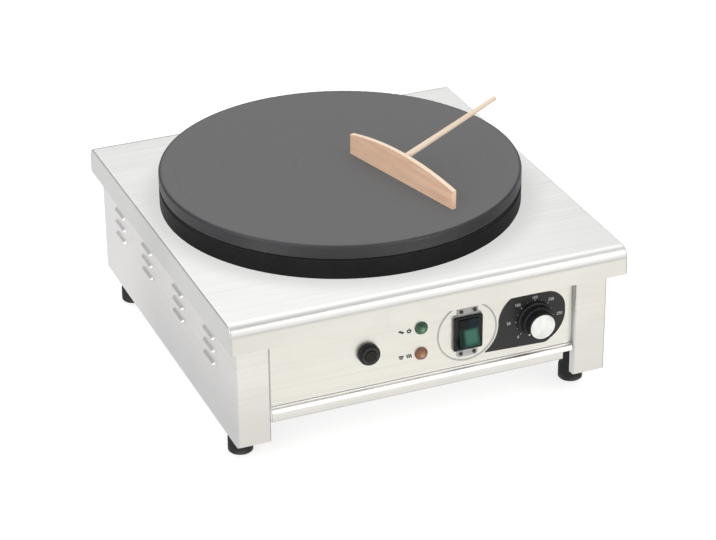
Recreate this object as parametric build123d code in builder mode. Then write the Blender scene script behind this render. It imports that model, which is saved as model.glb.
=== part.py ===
from build123d import *
from math import cos, sin, radians, pi, sqrt
import os

os.makedirs("parts", exist_ok=True)

# ---------------------------------------------------------------------------
# Electric crepe maker, 400 mm cast-iron griddle on a folded sheet-steel body.
# Frame: millimetres, +Z up, front of the machine faces -Y, +X is the user's
# right, origin on the table under the middle of the top panel.
# ---------------------------------------------------------------------------

# body shell
TOP_W = 450.0            # top panel width, X
TOP_D = 475.4            # top panel depth, Y
TOP_Z = 184.8            # upper face of the top panel
LIP_H = 31.2             # height of the turned-down lip
SHEET = 1.2              # sheet thickness
TOP_FRONT_R = 13.0       # bend radius of the front and rear top edges
TOP_SIDE_R = 2.2         # bend radius of the side edges and of the lip's corners

SIDE_X = 213.3           # outer face of a side panel
LEG_FRONT_Y = -215.4     # front face of the front legs
LEG_REAR_Y = 233.2       # rear face of the rear legs
LEG_W = 38.0             # width of a leg face
LEG_Z = 29.4             # lower edge of the side panels
TAB_FRONT_Y = -207.0     # fixing tab behind the front panel
TAB_REAR_Y = 211.2       # fixing tab in front of the rear panel
TAB_W = 12.3

PAN_Z = 51.0             # underside of the base pan
LEDGE_Z = 66.3           # top of the front ledge of the base pan
LEDGE_R = 5.0
PANEL_Y = -208.2         # visible face of the front panel
PANEL_HALF = 172.5
PANEL_Z0 = 66.9

# vents
LOUVRE_Y = (166.0, 70.0, -36.0, -136.0)
LOUVRE_Z = (126.0, 111.0, 96.0)
LOUVRE_L = 36.0
LOUVRE_H = 9.0
LOUVRE_OUT = 2.8

# griddle
PLATE_R = 200.0
PLATE_TOP = 223.1
PLATE_RIM_Z = 208.0
PLATE_WEB_Z = 213.0      # underside of the web, where the elements press
PLATE_X, PLATE_Y = -7.0, 4.0   # griddle centre, left of the middle to leave room on the right
SKIRT_R = 200.0
GROOVE_R = 196.5         # neck of the skirt, a shadow line under the griddle's rim
PAN_R = 184.0
PAN_FLOOR = 172.0
BAR_W = 22.0             # width of a support bar
ELEMENT_R = 4.2
ELEMENT_Z = 208.7
RINGS = ((150.0, 8.0), (100.0, 12.0), (50.0, 24.0))   # radius, half gap in degrees
STUD_X, STUD_Y = 95.0, 81.2
STUD_POINTS = [(PLATE_X + sx * STUD_X, PLATE_Y + sy * STUD_Y) for sx in (-1, 1) for sy in (-1, 1)]

# feet
FEET = [(-195.0, -171.7), (195.0, -171.7), (-195.0, 193.5), (195.0, 193.5)]
FOOT_R = 13.6
FOOT_TOP_R = 12.4

# controls, as (x, z) on the front panel
KNOB_X, KNOB_Z = 130.0, 106.0
SWITCH_X, SWITCH_Z = 51.0, 107.2
RING_C = (51.0, 107.0)   # circle round the switch
RESET_X, RESET_Z = -63.0, 106.0
LAMP_X = -2.3
GREEN_Z, ORANGE_Z = 123.0, 92.3
SKIRT_KNOB_R = 20.5
CAP_R = 14.2
SHAFT_R = 3.0
RING_R = 34.9
CLIPS = [(SWITCH_X + sx * 7.8, SWITCH_Z + dz) for sx in (-1, 1) for dz in (25.6, -24.9)]

# rear panel
GLAND_X, GLAND_Z = 120.0, 92.0
EARTH_X, EARTH_Z = -140.0, 88.0

# batter spreader
BLADE_L = 179.0
BLADE_T = 5.5
BLADE_NEAR_H, BLADE_FAR_H = 21.8, 24.0   # ends of the blade, towards the user and away
BLADE_MID_H = 33.0
BLADE_MID = (35.45, -64.53)          # middle of the blade's working face
BLADE_DIR = -75.06                   # direction of its long edge, degrees
STICK_R = 3.6                        # at the blade
STICK_TIP_R = 2.5
STICK_H = 27.2
STICK_UP = 15.5                      # rise of the handle, degrees
STICK_L = 135.0


def ring_plane(angle):
    a = radians(angle)
    return Plane(origin=(PLATE_X, PLATE_Y, 0), x_dir=(cos(a), sin(a), 0), z_dir=(sin(a), -cos(a), 0))


def element_legs():
    points = []
    for radius, gap in RINGS:
        for side in (-1, 1):
            a = radians(90 + side * gap)
            points.append((PLATE_X + radius * cos(a), PLATE_Y + radius * sin(a)))
    return points


PLATE_AXIS = Axis((PLATE_X, PLATE_Y, 0), (0, 0, 1))
LEGS = element_legs()
THERMO_HOLE = (PLATE_X + 60.0, PLATE_Y - 124.0)
LIMIT_HOLE = (PLATE_X - 124.0, PLATE_Y - 60.0)

# ---------------------------------------------------------------------------
# shell
# ---------------------------------------------------------------------------
with BuildPart() as top_panel:
    with BuildSketch(Plane.XY.offset(TOP_Z - LIP_H)):
        Rectangle(TOP_W, TOP_D)
    extrude(amount=LIP_H)
    fillet(top_panel.faces().sort_by(Axis.Z)[-1].edges().filter_by(Axis.X), radius=TOP_FRONT_R)
    # the side lips are folded sharper and follow the round of the front and rear bends
    side_edges = top_panel.faces().filter_by(Axis.X).edges()
    fillet(side_edges.filter_by(lambda e: e.center().Z > TOP_Z - LIP_H + 1), radius=TOP_SIDE_R)
    offset(amount=-SHEET, openings=top_panel.faces().sort_by(Axis.Z)[0], kind=Kind.INTERSECTION)
    with BuildSketch(Plane.XY.offset(TOP_Z - 10)):
        with Locations((PLATE_X, PLATE_Y)):
            Circle(PAN_R + 1.0)
    extrude(amount=12, mode=Mode.SUBTRACT)
top_panel.part.label = "top_panel"

left_face = Plane(origin=(-SIDE_X, 0, 0), x_dir=(0, -1, 0), z_dir=(-1, 0, 0))

# space under the hoods, open at the bottom and through the wall
with BuildPart() as louvre_space:
    with BuildSketch(left_face.offset(-SHEET - 0.3)):
        with Locations(*[(-y, z) for y in LOUVRE_Y for z in LOUVRE_Z]):
            SlotOverall(LOUVRE_L - 2.0, LOUVRE_H - 2.0)
    extrude(amount=SHEET + 0.3)
    with BuildSketch(left_face):
        with Locations(*[(-y, z) for y in LOUVRE_Y for z in LOUVRE_Z]):
            SlotOverall(LOUVRE_L - 2.0, LOUVRE_H - 2.0)
    extrude(amount=LOUVRE_OUT - 0.9, taper=42)
    for z in LOUVRE_Z:
        with Locations((-SIDE_X - 1.0, 15.0, z - 6.2)):
            Box(10, 400, 10, mode=Mode.SUBTRACT)

with BuildPart() as left_side_panel:
    with BuildSketch(Plane.XY.offset(LEG_Z)):
        with BuildLine():
            FilletPolyline(
                (-SIDE_X + LEG_W + TAB_W, TAB_FRONT_Y),
                (-SIDE_X + LEG_W, TAB_FRONT_Y),
                (-SIDE_X + LEG_W, LEG_FRONT_Y),
                (-SIDE_X, LEG_FRONT_Y),
                (-SIDE_X, LEG_REAR_Y),
                (-SIDE_X + LEG_W, LEG_REAR_Y),
                (-SIDE_X + LEG_W, TAB_REAR_Y),
                (-SIDE_X + LEG_W + TAB_W, TAB_REAR_Y),
                radius=2.2,
            )
            offset(amount=SHEET, side=Side.RIGHT)
        make_face()
    extrude(amount=TOP_Z - SHEET - 0.1 - LEG_Z)
    # the tabs stop above the base pan
    with Locations((-SIDE_X + LEG_W + TAB_W / 2 + 1.0, TAB_FRONT_Y + 0.6, (LEG_Z + 67.2) / 2 - 5)):
        Box(TAB_W + 2.0, 3.0, 67.2 - LEG_Z + 10, mode=Mode.SUBTRACT)
    with Locations((-SIDE_X + LEG_W + TAB_W / 2 + 1.0, TAB_REAR_Y - 0.6, (LEG_Z + 67.2) / 2 - 5)):
        Box(TAB_W + 2.0, 3.0, 67.2 - LEG_Z + 10, mode=Mode.SUBTRACT)
    # and below the top flange of the front panel
    for tab_y in (TAB_FRONT_Y, TAB_REAR_Y):
        with Locations((-SIDE_X + LEG_W + TAB_W / 2 + 1.0, tab_y, TOP_Z)):
            Box(TAB_W + 2.0, 6.0, 9.0, mode=Mode.SUBTRACT)
    # rear legs stay clear of the bend of the top panel
    with Locations((-SIDE_X + LEG_W / 2, LEG_REAR_Y, TOP_Z)):
        Box(LEG_W + 10.0, 16.0, 11.0, mode=Mode.SUBTRACT)
    # inward flange under the top panel
    with Locations((-SIDE_X + 9.0, 9.0, TOP_Z - SHEET - 0.1 - SHEET / 2)):
        Box(17.0, 390.0, SHEET)
    # screw holes for the rear panel
    with BuildSketch(Plane.XZ.offset(-(TAB_REAR_Y - 4))):
        with Locations(*[(-168.5, z) for z in (82.0, 120.0, 158.0)]):
            Circle(2.1)
    extrude(amount=-8, mode=Mode.SUBTRACT)
    # pressed louvres
    with BuildSketch(left_face.offset(-0.4)):
        with Locations(*[(-y, z) for y in LOUVRE_Y for z in LOUVRE_Z]):
            SlotOverall(LOUVRE_L, LOUVRE_H)
    extrude(amount=LOUVRE_OUT + 0.4, taper=42)
    for z in LOUVRE_Z:
        with Locations((-SIDE_X - 5.0, 15.0, z - 6.0)):
            Box(10, 400, 10, mode=Mode.SUBTRACT)
    add(louvre_space.part, mode=Mode.SUBTRACT)
left_side_panel.part.label = "left_side_panel"

with BuildPart() as right_side_panel:
    mirror(left_side_panel.part, about=Plane.YZ)
right_side_panel.part.label = "right_side_panel"

with BuildPart() as base_pan:
    with BuildSketch(Plane.YZ):
        with BuildLine():
            FilletPolyline(
                (TAB_FRONT_Y + 0.1, 80.0),
                (TAB_FRONT_Y + 0.1, LEDGE_Z),
                (LEG_FRONT_Y, LEDGE_Z),
                (LEG_FRONT_Y, PAN_Z),
                (TAB_REAR_Y - 1.6, PAN_Z),
                (TAB_REAR_Y - 1.6, PAN_Z + 15.0),
                radius=[0.8, LEDGE_R, 2.4, 2.0],
            )
            offset(amount=SHEET, side=Side.LEFT)
        make_face()
    extrude(amount=SIDE_X - LEG_W - 0.7, both=True)
    # the up-stand behind the front panel sits between the fixing tabs
    for side in (-1, 1):
        with Locations((side * 168.5, TAB_FRONT_Y + 0.1 + 1.0, 75.0)):
            Box(14.0, 3.0, 16.2, mode=Mode.SUBTRACT)
        with Locations((side * (174.0 + 211.8) / 2, 2.0, PAN_Z + SHEET / 2)):
            Box(211.8 - 174.0, 415.2, SHEET)
        with Locations((side * 211.2, 2.0, PAN_Z + 7.5)):
            Box(SHEET, 415.2, 15.0)
    # front corners notched clear of the feet, below the ledge, wider at the right
    with Locations(((162.5 + 214.0) / 2, -208.0, PAN_Z + 4.0)):
        Box(214.0 - 162.5, 24.0, 10.4, mode=Mode.SUBTRACT)
    for side in (-1, 1):
        with Locations((side * (174.0 + 214.0) / 2, -208.0, PAN_Z + 8.0)):
            Box(214.0 - 174.0, 24.0, 18.0, mode=Mode.SUBTRACT)
    with BuildSketch(Plane.XY.offset(PAN_Z - 2)):
        with Locations(*FEET):
            Circle(3.3)
        with GridLocations(0, 16, 1, 9):
            SlotOverall(90, 4)
    extrude(amount=6, mode=Mode.SUBTRACT)
base_pan.part.label = "base_pan"

with BuildPart() as front_panel:
    with BuildSketch(Plane.YZ):
        with BuildLine():
            FilletPolyline(
                (PANEL_Y, PANEL_Z0),
                (PANEL_Y, TOP_Z - SHEET - 0.2),
                (PANEL_Y + 15.0, TOP_Z - SHEET - 0.2),
                radius=2.2,
            )
            offset(amount=SHEET - 0.02, side=Side.RIGHT)
        make_face()
    extrude(amount=PANEL_HALF, both=True)
    with BuildSketch(Plane.XZ.offset(-PANEL_Y - 3)):
        with Locations((KNOB_X, KNOB_Z)):
            Circle(5.2)
        with Locations((KNOB_X - 14, KNOB_Z), (KNOB_X + 14, KNOB_Z)):
            Circle(2.1)
        with Locations((SWITCH_X, SWITCH_Z)):
            Rectangle(27.8, 39.0)
        with Locations((RESET_X, RESET_Z)):
            Circle(8.6)
        with Locations((LAMP_X, GREEN_Z), (LAMP_X, ORANGE_Z)):
            Circle(5.2)
        with Locations(*CLIPS):
            Circle(1.2)
    extrude(amount=6, mode=Mode.SUBTRACT)
front_panel.part.label = "front_panel"

REAR_Y0 = TAB_REAR_Y + 0.05
REAR_Y1 = REAR_Y0 + SHEET
with BuildPart() as rear_panel:
    with Locations((0, (REAR_Y0 + REAR_Y1) / 2, (PAN_Z + 0.4 + TOP_Z - SHEET - 0.2) / 2)):
        Box(2 * 172.6, SHEET, TOP_Z - SHEET - 0.2 - PAN_Z - 0.4)
    with BuildSketch(Plane.XZ.offset(-REAR_Y0 + 2)):
        with Locations((GLAND_X, GLAND_Z)):
            Circle(8.2)
        with Locations((EARTH_X, EARTH_Z)):
            Circle(2.6)
        with Locations(*[(sx * 168.5, z) for sx in (-1, 1) for z in (82.0, 120.0, 158.0)]):
            Circle(2.1)
        for gx in (-85.0, 0.0, 85.0):
            for k in range(6):
                with Locations((gx, 112.0 + 9.0 * k)):
                    SlotOverall(56.0, 3.6)
    extrude(amount=-6, mode=Mode.SUBTRACT)
rear_panel.part.label = "rear_panel"

with BuildPart() as rear_screws:
    with BuildSketch(Plane.XZ.offset(-REAR_Y1)):
        with Locations(*[(sx * 168.5, z) for sx in (-1, 1) for z in (82.0, 120.0, 158.0)]):
            Circle(3.9)
    extrude(amount=-2.4)
    fillet(rear_screws.faces().sort_by(Axis.Y)[-6:].edges(), radius=1.2)
    with BuildSketch(Plane.XZ.offset(-REAR_Y1)):
        with Locations(*[(sx * 168.5, z) for sx in (-1, 1) for z in (82.0, 120.0, 158.0)]):
            Circle(1.95)
    extrude(amount=8.0)
    with BuildSketch(Plane.XZ.offset(-REAR_Y1 - 2.4)):
        with Locations(*[(sx * 168.5, z) for sx in (-1, 1) for z in (82.0, 120.0, 158.0)]):
            Rectangle(4.4, 0.8)
            Rectangle(0.8, 4.4)
    extrude(amount=1.3, mode=Mode.SUBTRACT)
rear_screws.part.label = "rear_screws"

# ---------------------------------------------------------------------------
# feet
# ---------------------------------------------------------------------------
with BuildPart() as rubber_feet:
    for fx, fy in FEET:
        with BuildSketch(Plane(origin=(fx, fy, 0), x_dir=(1, 0, 0), z_dir=(0, -1, 0))):
            with BuildLine():
                Polyline(
                    (7.4, 0), (FOOT_R - 1.2, 0), (FOOT_R, 1.2), (FOOT_R, 16.0),
                    (FOOT_TOP_R + 0.4, 18.5), (FOOT_TOP_R, 20.0), (FOOT_TOP_R, PAN_Z),
                    (3.2, PAN_Z), (3.2, 13.0), (7.4, 13.0), (7.4, 0),
                )
            make_face()
        revolve(axis=Axis((fx, fy, 0), (0, 0, 1)))
rubber_feet.part.label = "rubber_feet"

with BuildPart() as foot_screws:
    for fx, fy in FEET:
        with Locations((fx, fy, 13.0 - 2.0)):
            Cylinder(5.4, 4.0)
        with Locations((fx, fy, (13.0 + 62.0) / 2)):
            Cylinder(3.0, 62.0 - 13.0)
        with BuildSketch(Plane.XY.offset(9.0)):
            with Locations((fx, fy)):
                RegularPolygon(2.6, 6)
        extrude(amount=2.2, mode=Mode.SUBTRACT)
foot_screws.part.label = "foot_screws"

with BuildPart() as foot_nuts:
    with BuildSketch(Plane.XY.offset(PAN_Z + SHEET + 0.05)):
        with Locations(*FEET):
            RegularPolygon(5.77, 6)
            Circle(3.05, mode=Mode.SUBTRACT)
    extrude(amount=5.0)
foot_nuts.part.label = "foot_nuts"

# ---------------------------------------------------------------------------
# griddle and heating
# ---------------------------------------------------------------------------
with BuildPart() as griddle_plate:
    with BuildSketch(ring_plane(0)):
        with BuildLine():
            Polyline(
                (0, PLATE_WEB_Z), (186.0, PLATE_WEB_Z), (188.5, PLATE_RIM_Z), (PLATE_R, PLATE_RIM_Z),
                (PLATE_R, PLATE_TOP), (0, PLATE_TOP), (0, PLATE_WEB_Z),
            )
        make_face()
    revolve(axis=PLATE_AXIS)
    rim = griddle_plate.edges().filter_by(GeomType.CIRCLE).filter_by(lambda e: abs(e.radius - PLATE_R) < 0.01)
    fillet(rim.sort_by(Axis.Z)[-1], radius=2.6)
    rim = griddle_plate.edges().filter_by(GeomType.CIRCLE).filter_by(lambda e: abs(e.radius - PLATE_R) < 0.01)
    fillet(rim.sort_by(Axis.Z)[0], radius=1.6)
    with BuildSketch(Plane.XY.offset(PLATE_WEB_Z - 8.3)):
        with Locations(*STUD_POINTS):
            Circle(9.5)
    extrude(amount=8.6)
    with BuildSketch(Plane.XY.offset(PLATE_WEB_Z - 9)):
        with Locations(*STUD_POINTS):
            Circle(4.05)
    extrude(amount=14.0, mode=Mode.SUBTRACT)
griddle_plate.part.label = "griddle_plate"

with BuildPart() as plate_skirt:
    with BuildSketch(ring_plane(0)):
        with BuildLine():
            FilletPolyline(
                (190.0, PLATE_RIM_Z - 0.1),
                (GROOVE_R, PLATE_RIM_Z - 0.1),
                (GROOVE_R, PLATE_RIM_Z - 3.4),
                (SKIRT_R, PLATE_RIM_Z - 3.4),
                (SKIRT_R, TOP_Z + 0.1),
                radius=[0.8, 0.8, 1.6],
            )
            offset(amount=1.2, side=Side.RIGHT)
        make_face()
    revolve(axis=PLATE_AXIS)
plate_skirt.part.label = "plate_skirt"

with BuildPart() as heater_pan:
    with BuildSketch(ring_plane(0)):
        with BuildLine():
            FilletPolyline(
                (195.6, TOP_Z + 1.3),
                (PAN_R - 1.2, TOP_Z + 1.3),
                (PAN_R - 1.2, PAN_FLOOR + 1.2),
                (22.0, PAN_FLOOR + 1.2),
                radius=1.5,
            )
            offset(amount=1.2, side=Side.LEFT)
        make_face()
    revolve(axis=PLATE_AXIS)
    with BuildSketch(Plane.XY.offset(PAN_FLOOR - 1)):
        with Locations(*STUD_POINTS):
            Circle(4.4)
        with Locations(*LEGS):
            Circle(5.6)
        with Locations(THERMO_HOLE, LIMIT_HOLE):
            Circle(3.5)
    extrude(amount=4, mode=Mode.SUBTRACT)
heater_pan.part.label = "heater_pan"

with BuildPart() as insulation_pad:
    with BuildSketch(Plane.XY.offset(PAN_FLOOR + 1.4)):
        with Locations((PLATE_X, PLATE_Y)):
            Circle(178.0)
            Circle(24.0, mode=Mode.SUBTRACT)
        with Locations(*STUD_POINTS):
            Circle(5.0, mode=Mode.SUBTRACT)
        with Locations(*LEGS):
            Circle(5.6, mode=Mode.SUBTRACT)
        with Locations(THERMO_HOLE, LIMIT_HOLE):
            Circle(3.5, mode=Mode.SUBTRACT)
    extrude(amount=28.6)
insulation_pad.part.label = "insulation_pad"

with BuildPart() as element_clamp:
    with BuildSketch(Plane.XY.offset(202.3)):
        with Locations((PLATE_X, PLATE_Y)):
            Circle(170.0)
            Circle(24.0, mode=Mode.SUBTRACT)
        with Locations(*STUD_POINTS):
            Circle(4.4, mode=Mode.SUBTRACT)
        with Locations(*LEGS):
            Circle(5.6, mode=Mode.SUBTRACT)
        with Locations(THERMO_HOLE, LIMIT_HOLE):
            Circle(3.5, mode=Mode.SUBTRACT)
    extrude(amount=2.0)
element_clamp.part.label = "element_clamp"


def element(ring):
    radius, gap = RINGS[ring]
    with BuildPart() as tube:
        with BuildSketch(ring_plane(90 + gap)):
            with Locations((radius, ELEMENT_Z)):
                Circle(ELEMENT_R)
        revolve(axis=PLATE_AXIS, revolution_arc=360 - 2 * gap)
        for side in (-1, 1):
            a = radians(90 + side * gap)
            x, y = PLATE_X + radius * cos(a), PLATE_Y + radius * sin(a)
            with Locations((x, y, ELEMENT_Z)):
                Sphere(ELEMENT_R)
            with Locations((x, y, (ELEMENT_Z + 160.0) / 2)):
                Cylinder(ELEMENT_R, ELEMENT_Z - 160.0)
    return tube


outer_element = element(0)
outer_element.part.label = "outer_element"
middle_element = element(1)
middle_element.part.label = "middle_element"
inner_element = element(2)
inner_element.part.label = "inner_element"

with BuildPart() as element_terminals:
    with BuildSketch(Plane.XY.offset(146.0)):
        with Locations(*LEGS):
            Circle(2.0)
    extrude(amount=13.9)
    with BuildSketch(Plane.XY.offset(152.0)):
        with Locations(*LEGS):
            RegularPolygon(4.0, 6)
    extrude(amount=3.2)
element_terminals.part.label = "element_terminals"

with BuildPart() as plate_studs:
    with BuildSketch(Plane.XY.offset(160.0)):
        with Locations(*STUD_POINTS):
            Circle(4.0)
    extrude(amount=57.0)
plate_studs.part.label = "plate_studs"

with BuildPart() as plate_nuts:
    with BuildSketch(Plane.XY.offset(162.2)):
        with Locations(*STUD_POINTS):
            RegularPolygon(7.5, 6)
            Circle(4.05, mode=Mode.SUBTRACT)
    extrude(amount=6.4)
plate_nuts.part.label = "plate_nuts"

with BuildPart() as support_bars:
    for side in (-1, 1):
        with BuildSketch(Plane.XZ.offset(-(PLATE_Y + side * STUD_Y - BAR_W / 2))):
            with BuildLine():
                FilletPolyline(
                    (-211.0, 183.2), (-190.0, 183.2), (-186.0, PAN_FLOOR - 0.1),
                    (186.0, PAN_FLOOR - 0.1), (190.0, 183.2), (211.0, 183.2),
                    radius=2.0,
                )
                offset(amount=3.0, side=Side.RIGHT)
            make_face()
        extrude(amount=-BAR_W)
    with BuildSketch(Plane.XY.offset(165.0)):
        with Locations(*STUD_POINTS):
            Circle(4.4)
    extrude(amount=10, mode=Mode.SUBTRACT)
    # ends are cut clear of the flanges of the side panels
    for side in (-1, 1):
        with Locations((side * 204.0, PLATE_Y, 183.0)):
            Box(17.0, 260.0, 20.0, mode=Mode.SUBTRACT)
support_bars.part.label = "support_bars"

# ---------------------------------------------------------------------------
# thermostat and knob
# ---------------------------------------------------------------------------
knob_axis = Axis((KNOB_X, 0, KNOB_Z), (0, 1, 0))


def panel_plane(y):
    # sketch plane facing the user, local x = X, local y = Z
    return Plane(origin=(0, y, 0), x_dir=(1, 0, 0), z_dir=(0, -1, 0))


with BuildPart() as thermostat_body:
    with BuildSketch(panel_plane(TAB_FRONT_Y + 1.2)):
        with Locations((KNOB_X, KNOB_Z)):
            RectangleRounded(38.0, 30.0, 3.0)
    extrude(amount=-30.0)
    with BuildSketch(panel_plane(PANEL_Y - 0.6)):
        with Locations((KNOB_X, KNOB_Z)):
            Circle(5.0)
    extrude(amount=-3.0)
    with BuildSketch(panel_plane(PANEL_Y - 1)):
        with Locations((KNOB_X, KNOB_Z)):
            Circle(SHAFT_R + 0.05)
    extrude(amount=-18.0, mode=Mode.SUBTRACT)
    with BuildSketch(panel_plane(TAB_FRONT_Y + 1.0)):
        with Locations((KNOB_X - 14, KNOB_Z), (KNOB_X + 14, KNOB_Z)):
            Circle(1.55)
    extrude(amount=-9.0, mode=Mode.SUBTRACT)
    with BuildSketch(panel_plane(TAB_FRONT_Y + 31.2)):
        with Locations((KNOB_X - 12, KNOB_Z + 8), (KNOB_X + 12, KNOB_Z + 8)):
            Rectangle(6.3, 0.8)
    extrude(amount=-8.0)
thermostat_body.part.label = "thermostat_body"

with BuildPart() as thermostat_screws:
    with BuildSketch(panel_plane(PANEL_Y)):
        with Locations((KNOB_X - 14, KNOB_Z), (KNOB_X + 14, KNOB_Z)):
            Circle(1.5)
    extrude(amount=-9.0)
thermostat_screws.part.label = "thermostat_screws"

with BuildPart() as thermostat_bulb:
    with Locations(Location((PLATE_X - 5.0, THERMO_HOLE[1], 209.4), (0, 90, 0))):
        Cylinder(3.2, 90.0)
    with BuildLine() as capillary:
        FilletPolyline(
            (PLATE_X + 39.0, THERMO_HOLE[1], 209.4),
            (THERMO_HOLE[0], THERMO_HOLE[1], 209.4),
            (THERMO_HOLE[0], THERMO_HOLE[1], 150.0),
            (100.0, -142.0, 116.0),
            (KNOB_X, -142.0, KNOB_Z),
            (KNOB_X, -175.8, KNOB_Z),
            radius=[8.0, 16.0, 12.0, 10.0],
        )
    with BuildSketch(Plane(origin=(PLATE_X + 39.0, THERMO_HOLE[1], 209.4), z_dir=(1, 0, 0))):
        Circle(0.9)
    sweep(path=capillary.wires()[0])
thermostat_bulb.part.label = "thermostat_bulb"

with BuildPart() as thermostat_shaft:
    with BuildSketch(panel_plane(PANEL_Y - 12.6)):
        with Locations((KNOB_X, KNOB_Z)):
            Circle(SHAFT_R)
    extrude(amount=-28.0)
    with Locations((KNOB_X, PANEL_Y - 9.0, KNOB_Z + 3.4)):
        Box(8.0, 12.0, 2.6, mode=Mode.SUBTRACT)
thermostat_shaft.part.label = "thermostat_shaft"

KNOB_BACK = PANEL_Y - 1.4
with BuildPart() as knob_skirt:
    with BuildSketch(Plane(origin=(KNOB_X, 0, KNOB_Z), x_dir=(1, 0, 0), z_dir=(0, 0, 1))):
        with BuildLine():
            Polyline(
                (3.05, KNOB_BACK - 2.4), (6.8, KNOB_BACK - 2.4), (6.8, KNOB_BACK - 9.0),
                (15.8, KNOB_BACK - 9.0), (16.2, KNOB_BACK), (SKIRT_KNOB_R, KNOB_BACK),
                (SKIRT_KNOB_R - 0.2, KNOB_BACK - 3.0), (18.6, KNOB_BACK - 4.0),
                (17.9, KNOB_BACK - 10.8), (17.1, KNOB_BACK - 11.6), (15.1, KNOB_BACK - 11.6),
                (15.0, KNOB_BACK - 19.8), (14.6, KNOB_BACK - 20.3), (CAP_R + 0.05, KNOB_BACK - 20.3),
                (CAP_R + 0.05, KNOB_BACK - 18.9), (3.05, KNOB_BACK - 18.9),
                (3.05, KNOB_BACK - 2.4),
            )
        make_face()
    revolve(axis=knob_axis)
    with BuildSketch(panel_plane(KNOB_BACK - 4.2)):
        with Locations((KNOB_X, KNOB_Z)):
            with PolarLocations(18.75, 30):
                Circle(0.85)
    extrude(amount=9.0, mode=Mode.SUBTRACT)
knob_skirt.part.label = "knob_skirt"

# white disc let into the front of the knob
with BuildPart() as knob_cap:
    with BuildSketch(panel_plane(KNOB_BACK - 18.95)):
        with Locations((KNOB_X, KNOB_Z)):
            Circle(CAP_R)
    extrude(amount=1.8)
    fillet(knob_cap.faces().sort_by(Axis.Y)[0].edges(), radius=0.5)
    with BuildSketch(panel_plane(KNOB_BACK - 18.95 - 1.8)):
        with Locations((KNOB_X, KNOB_Z)):
            Circle(11.6)
    extrude(amount=-0.4, mode=Mode.SUBTRACT)
knob_cap.part.label = "knob_cap"

# the pointer starts at the zero mark, low on the left
with BuildPart() as knob_pointer:
    with BuildSketch(panel_plane(KNOB_BACK - 11.62)):
        with Locations(Location((KNOB_X + 16.1 * cos(radians(225)), KNOB_Z + 16.1 * sin(radians(225)), 0), (0, 0, 225))):
            Rectangle(1.9, 1.3)
    extrude(amount=0.5)
knob_pointer.part.label = "knob_pointer"

# ---------------------------------------------------------------------------
# black dial plate, its left side follows the circle round the switch
# ---------------------------------------------------------------------------
DIAL_T = 0.7
with BuildPart() as dial_plate:
    with BuildSketch(panel_plane(PANEL_Y - 0.05)) as dial_sketch:
        with BuildLine():
            p_tail, p_mid, p_up = (
                (RING_C[0] + 37.0 * cos(radians(t)), RING_C[1] + 37.0 * sin(radians(t))) for t in (-55, -25, 4)
            )
            ThreePointArc(p_tail, p_mid, p_up)
            ThreePointArc(p_up, (92.6, 124.8), (104.0, 136.4))
            Line((104.0, 136.4), (147.0, 134.8))
            ThreePointArc((147.0, 134.8), (160.8, 128.0), (166.6, 112.0))
            ThreePointArc((166.6, 112.0), (163.0, 92.0), (149.0, 77.2))
            ThreePointArc((149.0, 77.2), (145.9, 74.9), (142.0, 74.0))
            Line((142.0, 74.0), p_tail)
        make_face()
        with Locations((KNOB_X, KNOB_Z)):
            Circle(18.0, mode=Mode.SUBTRACT)
    extrude(amount=DIAL_T)
dial_plate.part.label = "dial_plate"

with BuildPart() as switch_ring:
    with BuildSketch(panel_plane(PANEL_Y - 0.02)):
        with Locations(RING_C):
            Circle(RING_R)
            Circle(RING_R - 1.8, mode=Mode.SUBTRACT)
    extrude(amount=0.3)
switch_ring.part.label = "switch_ring"

# ---------------------------------------------------------------------------
# main switch
# ---------------------------------------------------------------------------
PIVOT_Y = PANEL_Y + 2.7
ROCKER_TILT = 9.0

with BuildPart() as switch_frame:
    with BuildSketch(panel_plane(PANEL_Y - 1.3)):
        with Locations((SWITCH_X, SWITCH_Z)):
            RectangleRounded(33.6, 40.0, 2.2)
    extrude(amount=2.6)
    fillet(switch_frame.faces().sort_by(Axis.Y)[0].edges(), radius=0.9)
    with BuildSketch(panel_plane(PANEL_Y + 1)):
        with Locations((SWITCH_X, SWITCH_Z)):
            Rectangle(23.4, 34.8)
    extrude(amount=6, mode=Mode.SUBTRACT)
switch_frame.part.label = "switch_frame"

with BuildPart() as switch_housing:
    with BuildSketch(panel_plane(PANEL_Y - 1.25)):
        with Locations((SWITCH_X, SWITCH_Z)):
            Rectangle(27.4, 38.6)
    extrude(amount=-27.25)
    with BuildSketch(panel_plane(PANEL_Y - 2)):
        with Locations((SWITCH_X, SWITCH_Z)):
            Rectangle(23.4, 34.8)
    extrude(amount=-14.0, mode=Mode.SUBTRACT)
    with Locations(Location((SWITCH_X, PIVOT_Y, SWITCH_Z), (0, 90, 0))):
        Cylinder(1.6, 40.0, mode=Mode.SUBTRACT)
    with BuildSketch(panel_plane(PANEL_Y + 26.0)):
        with Locations(*[(SWITCH_X + sx * 7.0, SWITCH_Z + sz * 9.0) for sx in (-1, 1) for sz in (-1, 1)]):
            Rectangle(6.3, 0.8)
    extrude(amount=-8.0)
switch_housing.part.label = "switch_housing"

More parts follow.
